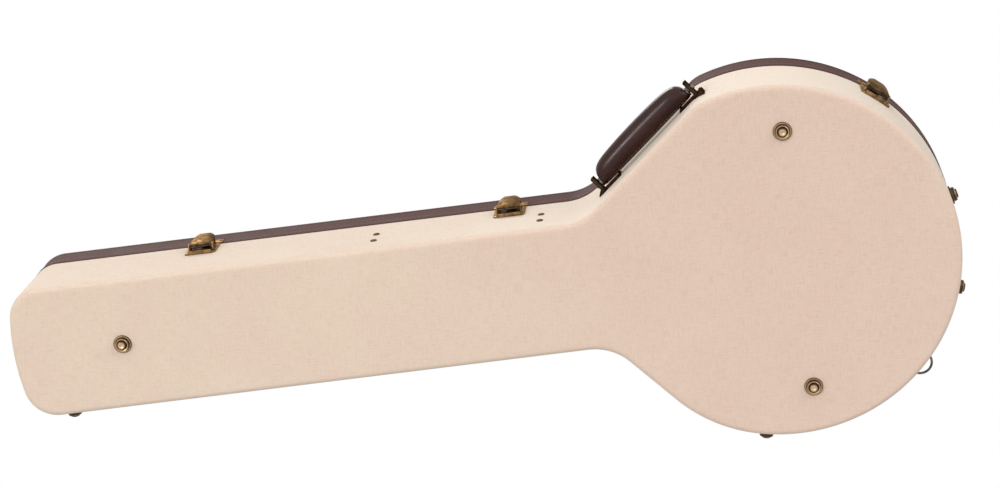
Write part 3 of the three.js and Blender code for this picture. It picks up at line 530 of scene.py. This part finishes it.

# The feet: pressed brass buttons with a wide flange, a raised ring and a bright tip, worn
# and partly a painted highlight. Each is nailed on through its middle: three below, two on
# the hinge side and two on the drum end.
foot_radius = 0.0105
foot_brass, foot_tree, foot_shader = new_material("foot_brass", 0.36, metallic=1.0)
lathe_place = add_node(foot_tree, "ShaderNodeUVMap", uv_map="lathe").outputs["UV"]
from_axis = add_node(foot_tree, "ShaderNodeSeparateXYZ", [("Vector", lathe_place)]).outputs["X"]
ring_share = mapped(foot_tree, from_axis, from_max=foot_radius)
ring_light_and_shade_tones = add_node(foot_tree, "ShaderNodeValToRGB", [("Fac", ring_share)])
# The bands by radius paint light and shade into the brass: a bright tip, partly a painted highlight; a dark
# groove, tarnish with painted shade; painted highlights on the ring's top and the flange, and painted shade
# on the side of the ring and round the flange's edge.
wear_and_painted_light_rings = [
    (0.0, (0.42, 0.29, 0.18)),
    (0.14, (0.70, 0.50, 0.34)),
    (0.30, (0.66, 0.45, 0.28)),
    (0.42, (0.075, 0.045, 0.024)),
    (0.54, (0.060, 0.036, 0.020)),
    (0.63, (0.60, 0.40, 0.23)),
    (0.71, (0.34, 0.21, 0.12)),
    (0.755, (0.036, 0.023, 0.014)),
    (0.81, (0.40, 0.26, 0.145)),
    (0.90, (0.46, 0.30, 0.17)),
    (0.97, (0.050, 0.032, 0.019)),
]
while len(ring_light_and_shade_tones.color_ramp.elements) < len(wear_and_painted_light_rings):
    ring_light_and_shade_tones.color_ramp.elements.new(1.0)
for stop, (share, tone) in zip(ring_light_and_shade_tones.color_ramp.elements, wear_and_painted_light_rings):
    stop.position = share
    stop.color = (*tone, 1)
foot_tarnish = use_group(foot_tree, patches, place_of(foot_tree), Size=260.0, Contrast=2.2)
foot_wear = mapped(foot_tree, foot_tarnish.outputs["Shade"], to_min=0.6)
foot_tone = blend_colours(foot_tree, foot_wear, (0.05, 0.034, 0.018), ring_light_and_shade_tones.outputs["Color"])
foot_tree.links.new(foot_tone, foot_shader.inputs["Base Color"])

foot_profile = [
    (foot_radius, 0.0001),
    (foot_radius, 0.0011),
    (0.0102, 0.0016),
    (0.0095, 0.0019),
    (0.0087, 0.0018),
    (0.0082, 0.0017),
    (0.0080, 0.0023),
    (0.0079, 0.0046),
    (0.0076, 0.0055),
    (0.0070, 0.0060),
    (0.0063, 0.0058),
    (0.0057, 0.0055),
    (0.0052, 0.0062),
    (0.0049, 0.0074),
    (0.0043, 0.0079),
    (0.0034, 0.0080),
    (0.0022, 0.0079),
    (0.0016, 0.0075),
    (0.0, 0.0073),
]
head_foot_level = 0.020
head_foot_from_end = 0.053
head_foot_x = head_x + head_foot_from_end
head_foot_y = (neck_reach - neck_normal.x * head_foot_x) / neck_normal.y


def turned(profile, place, outwards, steps=40):
    """A profile of radii and heights spun about its axis and stood on a wall."""
    mesh = bmesh.new()
    chain = [mesh.verts.new((radius, 0, height)) for radius, height in profile]
    chain_edges = [mesh.edges.new(pair) for pair in zip(chain, chain[1:])]
    bmesh.ops.spin(
        mesh,
        geom=chain + chain_edges,
        cent=(0, 0, 0),
        axis=(0, 0, 1),
        angle=FULL_TURN,
        steps=steps,
        use_merge=True,
    )
    bmesh.ops.remove_doubles(mesh, verts=mesh.verts, dist=1e-6)
    lathe = mesh.loops.layers.uv.new("lathe")
    for face in mesh.faces:
        for loop in face.loops:
            spot = loop.vert.co
            loop[lathe].uv = (math.hypot(spot.x, spot.y), spot.z)
    stand = Matrix.Translation(place) @ outwards.to_track_quat("Z", "Y").to_matrix().to_4x4()
    bmesh.ops.transform(mesh, matrix=stand, verts=mesh.verts)
    return mesh


def on_wall(point, level):
    """A point of the plan, at that height."""
    return (drum_centre + point).to_3d() + Vector((0, 0, level))


DOWN = Vector((0, 0, -1))
feet = {
    "foot_side_head": (
        on_wall(Vector((head_foot_x, head_foot_y)), foot_height + head_foot_level),
        neck_normal.to_3d(),
    )
}
for name, degrees, level in (
    ("foot_side_drum", 100.5, 0.0175),
    ("foot_end_latch_side", -13.5, 0.025),
    ("foot_end_hinge_side", 16.7, 0.025),
):
    outwards = heading(math.radians(degrees))
    feet[name] = (on_wall(outwards * drum_radius, foot_height + level), outwards.to_3d())
for name in ("foot_bottom_drum_latch_side", "foot_bottom_drum_hinge_side", "foot_bottom_head"):
    low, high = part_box(name)
    feet[name] = (Vector(((low[0] + high[0]) / 2, (low[1] + high[1]) / 2, base_foot)), DOWN)
for name, (place, outwards) in feet.items():
    button = turned(foot_profile, place, outwards)
    piece(name + "_button", button, foot_brass, "base", "antique_brass", name)

# Leatherette: embossed with a small pebbled grain, brown, and paler where hands and
# shelves have rubbed it.
grain, grain_in, grain_out = new_group(
    "Pebbled grain",
    [("Place", VECTOR, None), ("Pebbles per metre", FLOAT, 700.0)],
    [("Height", FLOAT), ("Creases", FLOAT)],
)
pebbles = add_node(
    grain,
    "ShaderNodeTexVoronoi",
    [("Vector", grain_in.outputs["Place"]), ("Scale", grain_in.outputs["Pebbles per metre"])],
    feature="SMOOTH_F1",
)
wrinkle = add_node(
    grain,
    "ShaderNodeTexNoise",
    [("Vector", grain_in.outputs["Place"])],
    scale=260.0,
    detail=5.0,
    roughness=0.6,
)
domed = arithmetic(grain, "SUBTRACT", 1.0, pebbles.outputs["Distance"])
folded = arithmetic(grain, "ADD", domed, wrinkle.outputs[0])
hollows = mapped(grain, pebbles.outputs["Distance"], from_min=0.35, from_max=0.75)
grain.links.new(folded, grain_out.inputs["Height"])
grain.links.new(hollows, grain_out.inputs["Creases"])


def brown_hide(name, dark, light, roughness, shine, pebbles_per_metre, depth):
    """Brown leather or leatherette with a pebbled grain and uneven dye."""
    material, tree, shader = new_material(name, roughness)
    shader.inputs["Specular IOR Level"].default_value = shine
    place = place_of(tree)
    pebbled = use_group(tree, grain, place, Pebbles_per_metre=pebbles_per_metre).outputs
    dye = use_group(tree, patches, place, Size=35.0, Contrast=1.8).outputs["Shade"]
    tone = blend_colours(tree, dye, dark, light)
    creased = arithmetic(tree, "MULTIPLY", pebbled["Creases"], 0.5)
    tone = blend_colours(tree, creased, tone, tuple(part * 0.45 for part in dark))
    tree.links.new(tone, shader.inputs["Base Color"])
    gloss = mapped(tree, dye, to_min=roughness - 0.08, to_max=roughness + 0.1)
    tree.links.new(gloss, shader.inputs["Roughness"])
    raise_surface(tree, shader, pebbled["Height"], depth, 0.6)
    return material


leatherette = brown_hide(
    "leatherette", (0.068, 0.030, 0.026), (0.104, 0.051, 0.044), 0.6, 0.04, 620.0, 0.0003
)
edge_leather = brown_hide(
    "edge_leather", (0.058, 0.028, 0.025), (0.092, 0.049, 0.044), 0.55, 0.06, 800.0, 0.0002
)

# The lid's side: bent plywood in leatherette, with the welt that is glued round its foot
# to hide the edge of the cloth, and a rounded binding round its top edge.
seam_gap = 0.0006
lid_depth = 0.044
lid_panel_thickness = 0.005
fit_gap = 0.0003
lid_foot = base_top + seam_gap
lid_edge = base_top + lid_depth
rim_top = lid_edge - lid_panel_thickness - fit_gap
welt_height = 0.013
welt_proud = 0.0005

foot_round = wall_lip + welt_proud
rim_profile = rounded_corner(wall_lip, lid_foot + foot_round, foot_round, 270, 180, steps=3)
rim_profile += rounded_corner(0, lid_foot + welt_height - welt_proud, welt_proud, 180, 90, steps=3)
rim_profile += [(0, rim_top)]
rim_profile += [(wall_thickness, rim_top), (wall_thickness, lid_foot + fit_gap)]
rim = sweep_round(rim_profile, closed=True)
piece("lid_side", rim, leatherette, "lid", "leatherette_covered_ply", "lid_rim")

binding_width = 0.004
binding_bulge = 0.0008
binding_foot = rim_top + fit_gap
binding_middle = (binding_foot + lid_edge) / 2
binding_profile = rounded_corner(
    binding_width / 2,
    binding_middle + binding_bulge / 2,
    binding_width / 2 + binding_bulge,
    200,
    60,
    steps=8,
)
binding_profile += [(binding_width, binding_middle), (binding_width, binding_foot), (0, binding_foot)]
binding = sweep_round(binding_profile, closed=True)
piece("lid_binding", binding, edge_leather, "lid", "brown_leather", "lid_edge_binding")

# Saddle stitches hold the welt: one row of waxed thread just under its top edge, each
# stitch a short rounded bar that sinks into the leatherette at both ends.
thread, thread_tree, thread_shader = new_material("waxed_thread", 0.6)
thread_dye = use_group(thread_tree, patches, place_of(thread_tree), Size=400.0, Contrast=1.5)
thread_tone = blend_colours(
    thread_tree, thread_dye.outputs["Shade"], (0.13, 0.075, 0.055), (0.21, 0.135, 0.10)
)
thread_tree.links.new(thread_tone, thread_shader.inputs["Base Color"])
stitch_pitch = 0.0052
stitch_length = 0.0038
stitch_radius = 0.00035
stitch_drop = 0.0022
UP = Vector((0, 0, 1))


def stitch(mesh, place, along, outwards):
    """One stitch: a bar with pointed ends, laid along a seam."""
    side = outwards.cross(along)
    lie = Matrix((side, outwards, along)).transposed().to_4x4()
    bar = bmesh.ops.create_icosphere(mesh, subdivisions=1, radius=stitch_radius)["verts"]
    stretch = Matrix.Diagonal((1, 0.8, stitch_length / 2 / stitch_radius, 1))
    bmesh.ops.transform(mesh, matrix=Matrix.Translation(place) @ lie @ stretch, verts=bar)


def stitch_round(mesh, inset, height):
    """A row of stitches along one ring of the plan."""
    guide = bmesh.new()
    ring = [vert.co.copy() for vert in trace_plan(guide, inset, height)]
    guide.free()
    spot = 0.0
    for start, end in zip(ring, ring[1:] + ring[:1]):
        run = end - start
        along = run.normalized()
        while spot < run.length:
            stitch(mesh, start + along * spot, along, along.cross(UP))
            spot += stitch_pitch
        spot -= run.length


stitches = bmesh.new()
stitch_round(stitches, -welt_proud, lid_foot + welt_height - stitch_drop)
piece("lid_stitches", stitches, thread, "lid", "leatherette_covered_ply")

# The top of the lid: thin plywood bent to a low arch and covered in the same linen as
# the base. It sits inside the binding, on top of the side.
lid_arch = 0.010
lid_arch_width = 0.032
panel_inset = binding_width + fit_gap
arch_steps = 8
arch_profile = []
for step in range(arch_steps + 1):
    turn = RIGHT_ANGLE * step / arch_steps
    arch_profile.append(
        (
            panel_inset + (lid_arch_width + binding_width - panel_inset) * (1 - math.cos(turn)),
            lid_edge + lid_arch * math.sin(turn),
        )
    )
panel_profile = [(panel_inset, binding_foot)] + arch_profile
under_arch = [(inset + fit_gap, height - lid_panel_thickness) for inset, height in reversed(arch_profile)]
lid_top = sweep_round(under_arch[:-1] + panel_profile, closed=False)
bmesh.ops.recalc_face_normals(lid_top, faces=lid_top.faces)
lay_cloth(lid_top)
piece("lid_top", lid_top, linen, "lid", "linen_covered_ply", "lid_top_panel")

# Plush: a short dense pile in wine red. It lies in soft patches, lighter where it was
# brushed the other way.
plush, plush_tree, plush_shader = new_material("wine_plush", 0.95)
plush_place = place_of(plush_tree)
brushed = use_group(plush_tree, patches, plush_place, Size=28.0, Contrast=2.2)
pile = add_node(
    plush_tree, "ShaderNodeTexNoise", [("Vector", plush_place)], scale=900.0, detail=2.0, roughness=0.7
)
nap = blend_colours(plush_tree, brushed.outputs["Shade"], (0.075, 0.006, 0.014), (0.155, 0.016, 0.030))
fibres = blend_colours(plush_tree, pile.outputs[0], (0.03, 0.002, 0.006), (0.22, 0.03, 0.05))
plush_tone = blend_colours(plush_tree, 0.35, nap, fibres)
plush_tree.links.new(plush_tone, plush_shader.inputs["Base Color"])
plush_shader.inputs["Sheen Weight"].default_value = 0.6
plush_shader.inputs["Sheen Roughness"].default_value = 0.35
plush_shader.inputs["Sheen Tint"].default_value = (0.75, 0.35, 0.38, 1)
raise_surface(plush_tree, plush_shader, pile.outputs[0], 0.0008, 0.7)

# The valance: a thin board bent round inside the walls and wrapped in plush. It stands
# above the base and guides the lid on.
valance_thickness = 0.003
valance_depth = 0.010
valance_rise = 0.008
valance_inset = wall_thickness + 0.0008
valance_low = base_top - valance_depth
valance_high = base_top + valance_rise
valance_round = valance_thickness / 2
valance_profile = rounded_corner(
    valance_inset + valance_round, valance_high - valance_round, valance_round, 180, 0, steps=6
)
valance_profile += [(valance_inset + valance_thickness, valance_low), (valance_inset, valance_low)]
valance = sweep_round(valance_profile, closed=True)
piece("valance", valance, plush, "base", "plush_covered_board", "base_valance")

# The linings of the base: foam under plush, glued to the floor and round the walls. Each
# is a little crowned, and pulled in at its edges where it meets the next. The floor pad
# starts a little small and swells as cloth.
floor_pad_thickness = 0.010
side_lining_thickness = 0.008
pad_gap = 0.0003
pad_low = base_foot + panel_thickness + pad_gap
pad_high = pad_low + floor_pad_thickness
pad_inset = wall_thickness + pad_gap
pad_edge = 0.003
side_crown = 0.004
swell_room = 0.0014
pad_voxel = 0.004
cloth_pressure = 4
cloth_frames = 20


def cushion(name, mesh, body, node):
    """A padded piece in plush, which stands for that CAD node."""
    pad = piece(name, mesh, plush, body, "plush_foam", node)
    return pad


def settle(obj):
    """Turns what the modifiers make of an object into its mesh."""
    graph = bpy.context.evaluated_depsgraph_get()
    shaped = bpy.data.meshes.new_from_object(obj.evaluated_get(graph))
    obj.modifiers.clear()
    obj.data = shaped


def swollen(pad, voxel, glue_level, free_side, cap):
    """Blows a pad up as cloth. It stays glued past that level, on the side that isn't free."""
    remesh = pad.modifiers.new("remesh", "REMESH")
    remesh.mode = "VOXEL"
    remesh.voxel_size = voxel
    remesh.use_smooth_shade = True
    settle(pad)
    start = [vert.co.copy() for vert in pad.data.vertices]
    glued = pad.vertex_groups.new(name="glued")
    held = [number for number, place in enumerate(start) if (place.z - glue_level) * free_side < 0]
    glued.add(held, 1.0, "REPLACE")
    cloth = pad.modifiers.new("cloth", "CLOTH")
    cloth.settings.use_pressure = True
    cloth.settings.uniform_pressure_force = cloth_pressure
    cloth.settings.effector_weights.gravity = 0
    cloth.settings.vertex_group_mass = glued.name
    cloth.point_cache.frame_start = 1
    cloth.point_cache.frame_end = cloth_frames
    for number in range(1, cloth_frames + 1):
        bpy.context.scene.frame_set(number)
    settle(pad)
    bpy.context.scene.frame_set(1)
    for vert, place in zip(pad.data.vertices, start):
        step = vert.co - place
        if step.length > cap:
            vert.co = place + step.normalized() * cap
    pad.data.shade_smooth()
    rounding = pad.modifiers.new("rounding", "SUBSURF")
    rounding.levels = 1
    rounding.render_levels = 1


def soft_edged(inset_out, low, high, radius):
    """The profile of a pad from the middle of its foot, round its edge, to its top."""
    profile = [(inset_out + radius * 3, low), (inset_out + radius, low)]
    profile += rounded_corner(inset_out + radius, low + radius, radius, -90, -180, steps=4)[1:]
    profile += rounded_corner(inset_out + radius, high - radius, radius, 180, 90, steps=4)
    return profile


floor_profile = soft_edged(pad_inset + swell_room, pad_low, pad_high - swell_room, pad_edge)
floor_pad = sweep_round(floor_profile, closed=False)
floor_cushion = cushion("floor_pad", floor_pad, "base", "base_floor_pad")
swollen(floor_cushion, pad_voxel, pad_low + floor_pad_thickness / 3, 1, swell_room)

lining_low = pad_high + pad_gap
lining_high = valance_low - pad_gap


def crowned_wall(inset_out, thickness, low, high, crown):
    """The profile of a wall lining: flat at its back, bowed in front, round at its ends."""
    front = inset_out + thickness
    profile = [(inset_out, high), (inset_out, low)]
    steps = 10
    for step in range(steps + 1):
        share = step / steps
        bow = math.sin(math.pi * share) ** 0.35
        profile.append((front - crown * (1 - bow), low + (high - low) * share))
    return profile


wall_profile = crowned_wall(pad_inset, side_lining_thickness, lining_low, lining_high, side_crown)
cushion("side_lining", sweep_round(wall_profile, closed=True), "base", "base_side_lining")

# The linings of the lid: the same plush over foam, on its ceiling and round its side.
lid_lining_thickness = 0.006
lid_lining_rise = 0.004
lid_crown = 0.003
ceiling_pad_thickness = 0.008
ceiling_high = rim_top - pad_gap
ceiling_low = ceiling_high - ceiling_pad_thickness
ceiling_profile = soft_edged(pad_inset + swell_room, ceiling_low + swell_room, ceiling_high, pad_edge)
ceiling_pad = sweep_round(ceiling_profile, closed=False)
ceiling_cushion = cushion("ceiling_pad", ceiling_pad, "lid", "lid_ceiling_pad")
swollen(ceiling_cushion, pad_voxel, ceiling_high - ceiling_pad_thickness / 3, -1, swell_room)

lid_wall_profile = crowned_wall(
    pad_inset, lid_lining_thickness, valance_high + lid_lining_rise, ceiling_low - pad_gap, lid_crown
)
cushion("lid_lining", sweep_round(lid_wall_profile, closed=True), "lid", "lid_side_lining")

# The compartment under the neck: two partitions, a ledge, a fixed board and a flap, all
# of thin board wrapped in plush, with its edges softened by the cloth.


def softened(node, radius, segments=3, sharper_than=30):
    """The CAD node's shape, as one merged mesh with its sharp edges rounded."""
    mesh = bmesh.new()
    mesh.from_mesh(bpy.data.objects[node].data)
    bmesh.ops.remove_doubles(mesh, verts=mesh.verts, dist=1e-5)
    bmesh.ops.dissolve_limit(
        mesh, angle_limit=math.radians(1), verts=mesh.verts, edges=mesh.edges
    )
    sharp = [edge for edge in mesh.edges if edge.calc_face_angle(0) > math.radians(sharper_than)]
    bmesh.ops.bevel(
        mesh,
        geom=sharp,
        offset=radius,
        offset_type="OFFSET",
        segments=segments,
        profile=0.5,
        affect="EDGES",
        clamp_overlap=True,
        material=-1,
    )
    return mesh


def carried_over(name, node, edge, material, body, slot):
    """A CAD node's own shape with its edges rounded, as a finished piece."""
    piece(name, softened(node, edge), material, body, slot, node)


board_edge = 0.0012
tab_edge = 0.0004
for board in ("compartment_partition_head", "compartment_partition_drum", "compartment_ledge"):
    carried_over(board + "_board", board, board_edge, plush, "base", "plush_covered_board")
carried_over("top_board", "compartment_top_board", board_edge, plush, "base", "plush_covered_board")
carried_over(
    "flap_board", "compartment_flap", board_edge, plush, "compartment_flap", "plush_covered_board"
)
carried_over(
    "flap_tab", "compartment_flap_tab", tab_edge, edge_leather, "compartment_flap", "brown_leather"
)

# The rivets: low steel heads on the outside of the neck, two through each wall into each
# partition. They are of old metal, a worn tone with tarnish in patches and fine pits.


def metal(name, dark, light, roughness, edge=(0.8, 0.75, 0.7)):
    """Old metal between two tones, with the tint that it shows at a low angle."""
    material, tree, shader = new_material(name, roughness, metallic=1.0)
    shader.inputs["Specular Tint"].default_value = (*edge, 1)
    place = place_of(tree)
    tarnish = use_group(tree, patches, place, Size=170.0, Contrast=2.6).outputs["Shade"]
    tree.links.new(blend_colours(tree, tarnish, dark, light), shader.inputs["Base Color"])
    gloss = mapped(tree, tarnish, to_min=roughness + 0.12, to_max=roughness - 0.08)
    tree.links.new(gloss, shader.inputs["Roughness"])
    pits = add_node(
        tree, "ShaderNodeTexNoise", [("Vector", place)], scale=700.0, detail=4.0, roughness=0.6
    )
    raise_surface(tree, shader, pits.outputs[0], 0.0001, 0.35)
    return material


rivet_steel = metal("rivet_steel", (0.045, 0.030, 0.018), (0.15, 0.10, 0.06), 0.5)
rivet_radius = 0.0038
rivet_height = 0.0018
rivet_rim = 0.0004
rivet_seat = 0.0001
rivet_dome = rivet_height - rivet_rim
rivet_steps = 6
rivet_profile = [(rivet_radius, rivet_seat)]
for step in range(rivet_steps + 1):
    turn = RIGHT_ANGLE * step / rivet_steps
    rivet_profile.append((rivet_radius * math.cos(turn), rivet_rim + rivet_dome * math.sin(turn)))
for partition, from_drum in (("head", -0.449), ("drum", -0.259)):
    for side, sign in (("latch", -1), ("hinge", 1)):
        for row, level in (("low", 0.032), ("high", 0.059)):
            outwards = Vector((neck_normal.x, neck_normal.y * sign))
            wall_y = sign * (neck_reach - neck_normal.x * from_drum) / neck_normal.y
            name = f"partition_rivet_{partition}_{side}_{row}"
            place = on_wall(Vector((from_drum, wall_y)), foot_height + level)
            head = turned(rivet_profile, place, outwards.to_3d(), steps=24)
            piece(name + "_head", head, rivet_steel, "base", "dark_steel", name)

# The neck rest: a block of firm foam under plush, glued to the head partition, with a
# hollow for the back of the neck.
rest_edge = 0.006
rest = softened("neck_rest", rest_edge, segments=5)
rest_low, rest_high = (Vector(corner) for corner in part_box("neck_rest"))
rest_size = rest_high - rest_low
shrink = Matrix.Diagonal([1 - 2 * swell_room / size for size in rest_size]).to_4x4()
rest_middle = Matrix.Translation((rest_low + rest_high) / 2)
bmesh.ops.transform(rest, matrix=rest_middle @ shrink @ rest_middle.inverted(), verts=rest.verts)
neck_cushion = cushion("neck_cushion", rest, "base", "neck_rest")
swollen(neck_cushion, pad_voxel, rest_low.z + rest_size.z / 4, 1, swell_room)

# The hinges: two pairs of brass leaves riveted to the base and the lid, with their
# knuckles on one steel pin each.
brass_edge = (0.86, 0.70, 0.58)
brass = metal("antique_brass", (0.075, 0.044, 0.018), (0.30, 0.185, 0.090), 0.46, brass_edge)
# The domes of the latches take a darker copy of the plates' brass: painted shade, which holds down the
# lamps' highlight on them.
shaded_dome_brass = metal("shaded_dome_brass", (0.040, 0.022, 0.008), (0.165, 0.098, 0.044), 0.48, brass_edge)
steel = metal("dark_steel", (0.030, 0.023, 0.016), (0.11, 0.09, 0.07), 0.45)
hardware_edge = 0.0003
for spot in ("drum", "head"):
    hinge = f"hinge_{spot}"
    carried_over(hinge + "_lower_leaf", hinge + "_base_leaf", hardware_edge, brass, "base", "antique_brass")
    carried_over(hinge + "_upper_leaf", hinge + "_lid_leaf", hardware_edge, brass, "lid", "antique_brass")
    carried_over(hinge + "_axle", hinge + "_pin", hardware_edge, steel, "base", "dark_steel")

# The latches: a riveted brass plate with cheeks that hold a pin, a domed hood that swings
# down on it, and a keeper with a nose on the lid.
hood_edge = 0.0009
for spot in ("head", "waist", "drum"):
    latch = f"latch_{spot}"
    carried_over(latch + "_plate", latch + "_base", hardware_edge, brass, "base", "antique_brass")
    carried_over(latch + "_axle", latch + "_pin", hardware_edge, steel, "base", "dark_steel")
    carried_over(latch + "_nose_plate", latch + "_keeper", hardware_edge, brass, "lid", "antique_brass")
    hood = softened(latch + "_hood", hood_edge, sharper_than=50)
    piece(latch + "_dome", hood, shaded_dome_brass, latch, "antique_brass", latch + "_hood", smooth_angle=50)

# The handle: leather sewn round a padded core, thick in the middle and drawn in at both
# ends, where steel caps and pins hang it in two slotted plates riveted to the shoulder.
grip_leather = brown_hide(
    "grip_leather", (0.022, 0.006, 0.004), (0.044, 0.014, 0.010), 0.24, 0.22, 900.0, 0.0001
)
joints = frame["record"]["behaviour"]["joints"]
grip_centre = Vector([joint["pos_m"] for joint in joints if joint["name"] == "handle_swing"][0])
grip_half_length = 0.069
grip_arch = 0.0079
grip_mid_width = 0.013
grip_mid_thickness = 0.0142
grip_end_width = 0.006
grip_end_thickness = 0.005
grip_taper = 0.18
grip_sides = 28
grip_outwards = flat_normal.to_3d()
grip_along = grip_outwards.cross(UP)


def grip_section(share):
    """The middle, half thickness and half width of the grip, at a share of its half length."""
    fullness = (1 - grip_taper * share**2) * math.sqrt(1 - share**10)
    centre = grip_centre + grip_along * grip_half_length * share + grip_outwards * grip_arch * fullness
    thickness = grip_end_thickness + (grip_mid_thickness - grip_end_thickness) * fullness
    width = grip_end_width + (grip_mid_width - grip_end_width) * fullness
    return centre, thickness, width


def hoop(mesh, sides, radius, spot, axes):
    """The edges of a circle at that spot, turned and stretched to those axes."""
    stand = Matrix.Translation(spot) @ Matrix(axes).transposed().to_4x4()
    circle = bmesh.ops.create_circle(mesh, segments=sides, radius=radius, matrix=stand)
    return ring_edges(mesh, circle["verts"])


grip_steps = 14
grip = bmesh.new()
grip_rings = []
for step in range(-grip_steps, grip_steps + 1):
    centre, thickness, width = grip_section(math.sin(RIGHT_ANGLE * step / grip_steps))
    axes = (grip_outwards * thickness, UP * width, grip_along)
    grip_rings.append(hoop(grip, grip_sides, 1, centre, axes))
for one, other in zip(grip_rings, grip_rings[1:]):
    bmesh.ops.bridge_loops(grip, edges=one + other)
for ring in (grip_rings[0], grip_rings[-1]):
    bmesh.ops.contextual_create(grip, geom=ring)
grip_cushion = piece("grip", grip, grip_leather, "handle", "brown_leather", "handle_grip", smooth_angle=50)

# Two rows of stitches close the leather along the side of the grip that faces the case.
grip_thread = bmesh.new()
seam_turn = math.radians(140)
grip_stitches = 30
seam_reach = 0.9
for row in (-seam_turn, seam_turn):
    for number in range(grip_stitches + 1):
        share = seam_reach * (2 * number / grip_stitches - 1)
        centre, thickness, width = grip_section(share)
        out, rise = math.cos(row), math.sin(row)
        spot = centre + grip_outwards * thickness * out + UP * width * rise
        outwards = (grip_outwards * out / thickness + UP * rise / width).normalized()
        stitch(grip_thread, spot, grip_along, outwards)
piece("grip_stitches", grip_thread, thread, "handle", "brown_leather")

bronze = metal("dark_bronze", (0.010, 0.006, 0.004), (0.050, 0.030, 0.018), 0.5, (0.40, 0.30, 0.22))
grey_steel = metal("grey_steel", (0.06, 0.053, 0.046), (0.26, 0.235, 0.21), 0.38)
plate_edge = 0.0004
for spot in ("drum_end", "waist_end"):
    plate = "handle_plate_" + spot
    carried_over("handle_mount_" + spot, plate, plate_edge, bronze, "base", "antique_brass")
    pin = "handle_pin_" + spot
    carried_over("handle_cap_" + spot, pin, plate_edge, grey_steel, "handle_slide", "antique_brass")

# The strap ring: steel wire bent to a half round with a straight bar, its ends welded. The
# bar turns in the eye of a brass clip that is riveted to the drum end.
ring_steel = metal("ring_steel", (0.065, 0.052, 0.040), (0.21, 0.175, 0.14), 0.42)
ring_degrees = 46
ring_level = 0.050
ring_wire_radius = 0.0014
ring_half_width = 0.013
ring_neck = 0.0019
ring_corner = 0.0018
ring_axis_out = 0.0042
ring_outwards = heading(math.radians(ring_degrees)).to_3d()
ring_along = UP.cross(ring_outwards)
ring_foot = on_wall(ring_outwards.to_2d() * drum_radius, foot_height + ring_level)
ring_side = ring_half_width - ring_corner
ring_wire_sides = 14

# Each bend is its middle, how far out it is, its radius, first direction, turn and
# number of steps.
ring_bends = [
    (0, ring_axis_out + ring_neck, ring_half_width, 0, 180, 24),
    (-ring_side, ring_axis_out + ring_corner, ring_corner, 180, 90, 6),
    (ring_side, ring_axis_out + ring_corner, ring_corner, 270, 90, 6),
]
ring_wire = bmesh.new()
wire_rings = []
for sideways, out, radius, first, turn, steps in ring_bends:
    for step in range(steps + 1):
        bearing = math.radians(first + turn * step / steps)
        away = ring_along * math.cos(bearing) + ring_outwards * math.sin(bearing)
        spot = ring_foot + ring_along * sideways + ring_outwards * out + away * radius
        axes = (away, UP, away.cross(UP))
        wire_rings.append(hoop(ring_wire, ring_wire_sides, ring_wire_radius, spot, axes))
for one, other in zip(wire_rings, wire_rings[1:] + wire_rings[:1]):
    bmesh.ops.bridge_loops(ring_wire, edges=one + other)
piece("strap_loop", ring_wire, ring_steel, "strap_ring", "dark_steel", "strap_ring", smooth_angle=60)
carried_over("strap_clip", "strap_ring_clip", hardware_edge, brass, "base", "antique_brass")
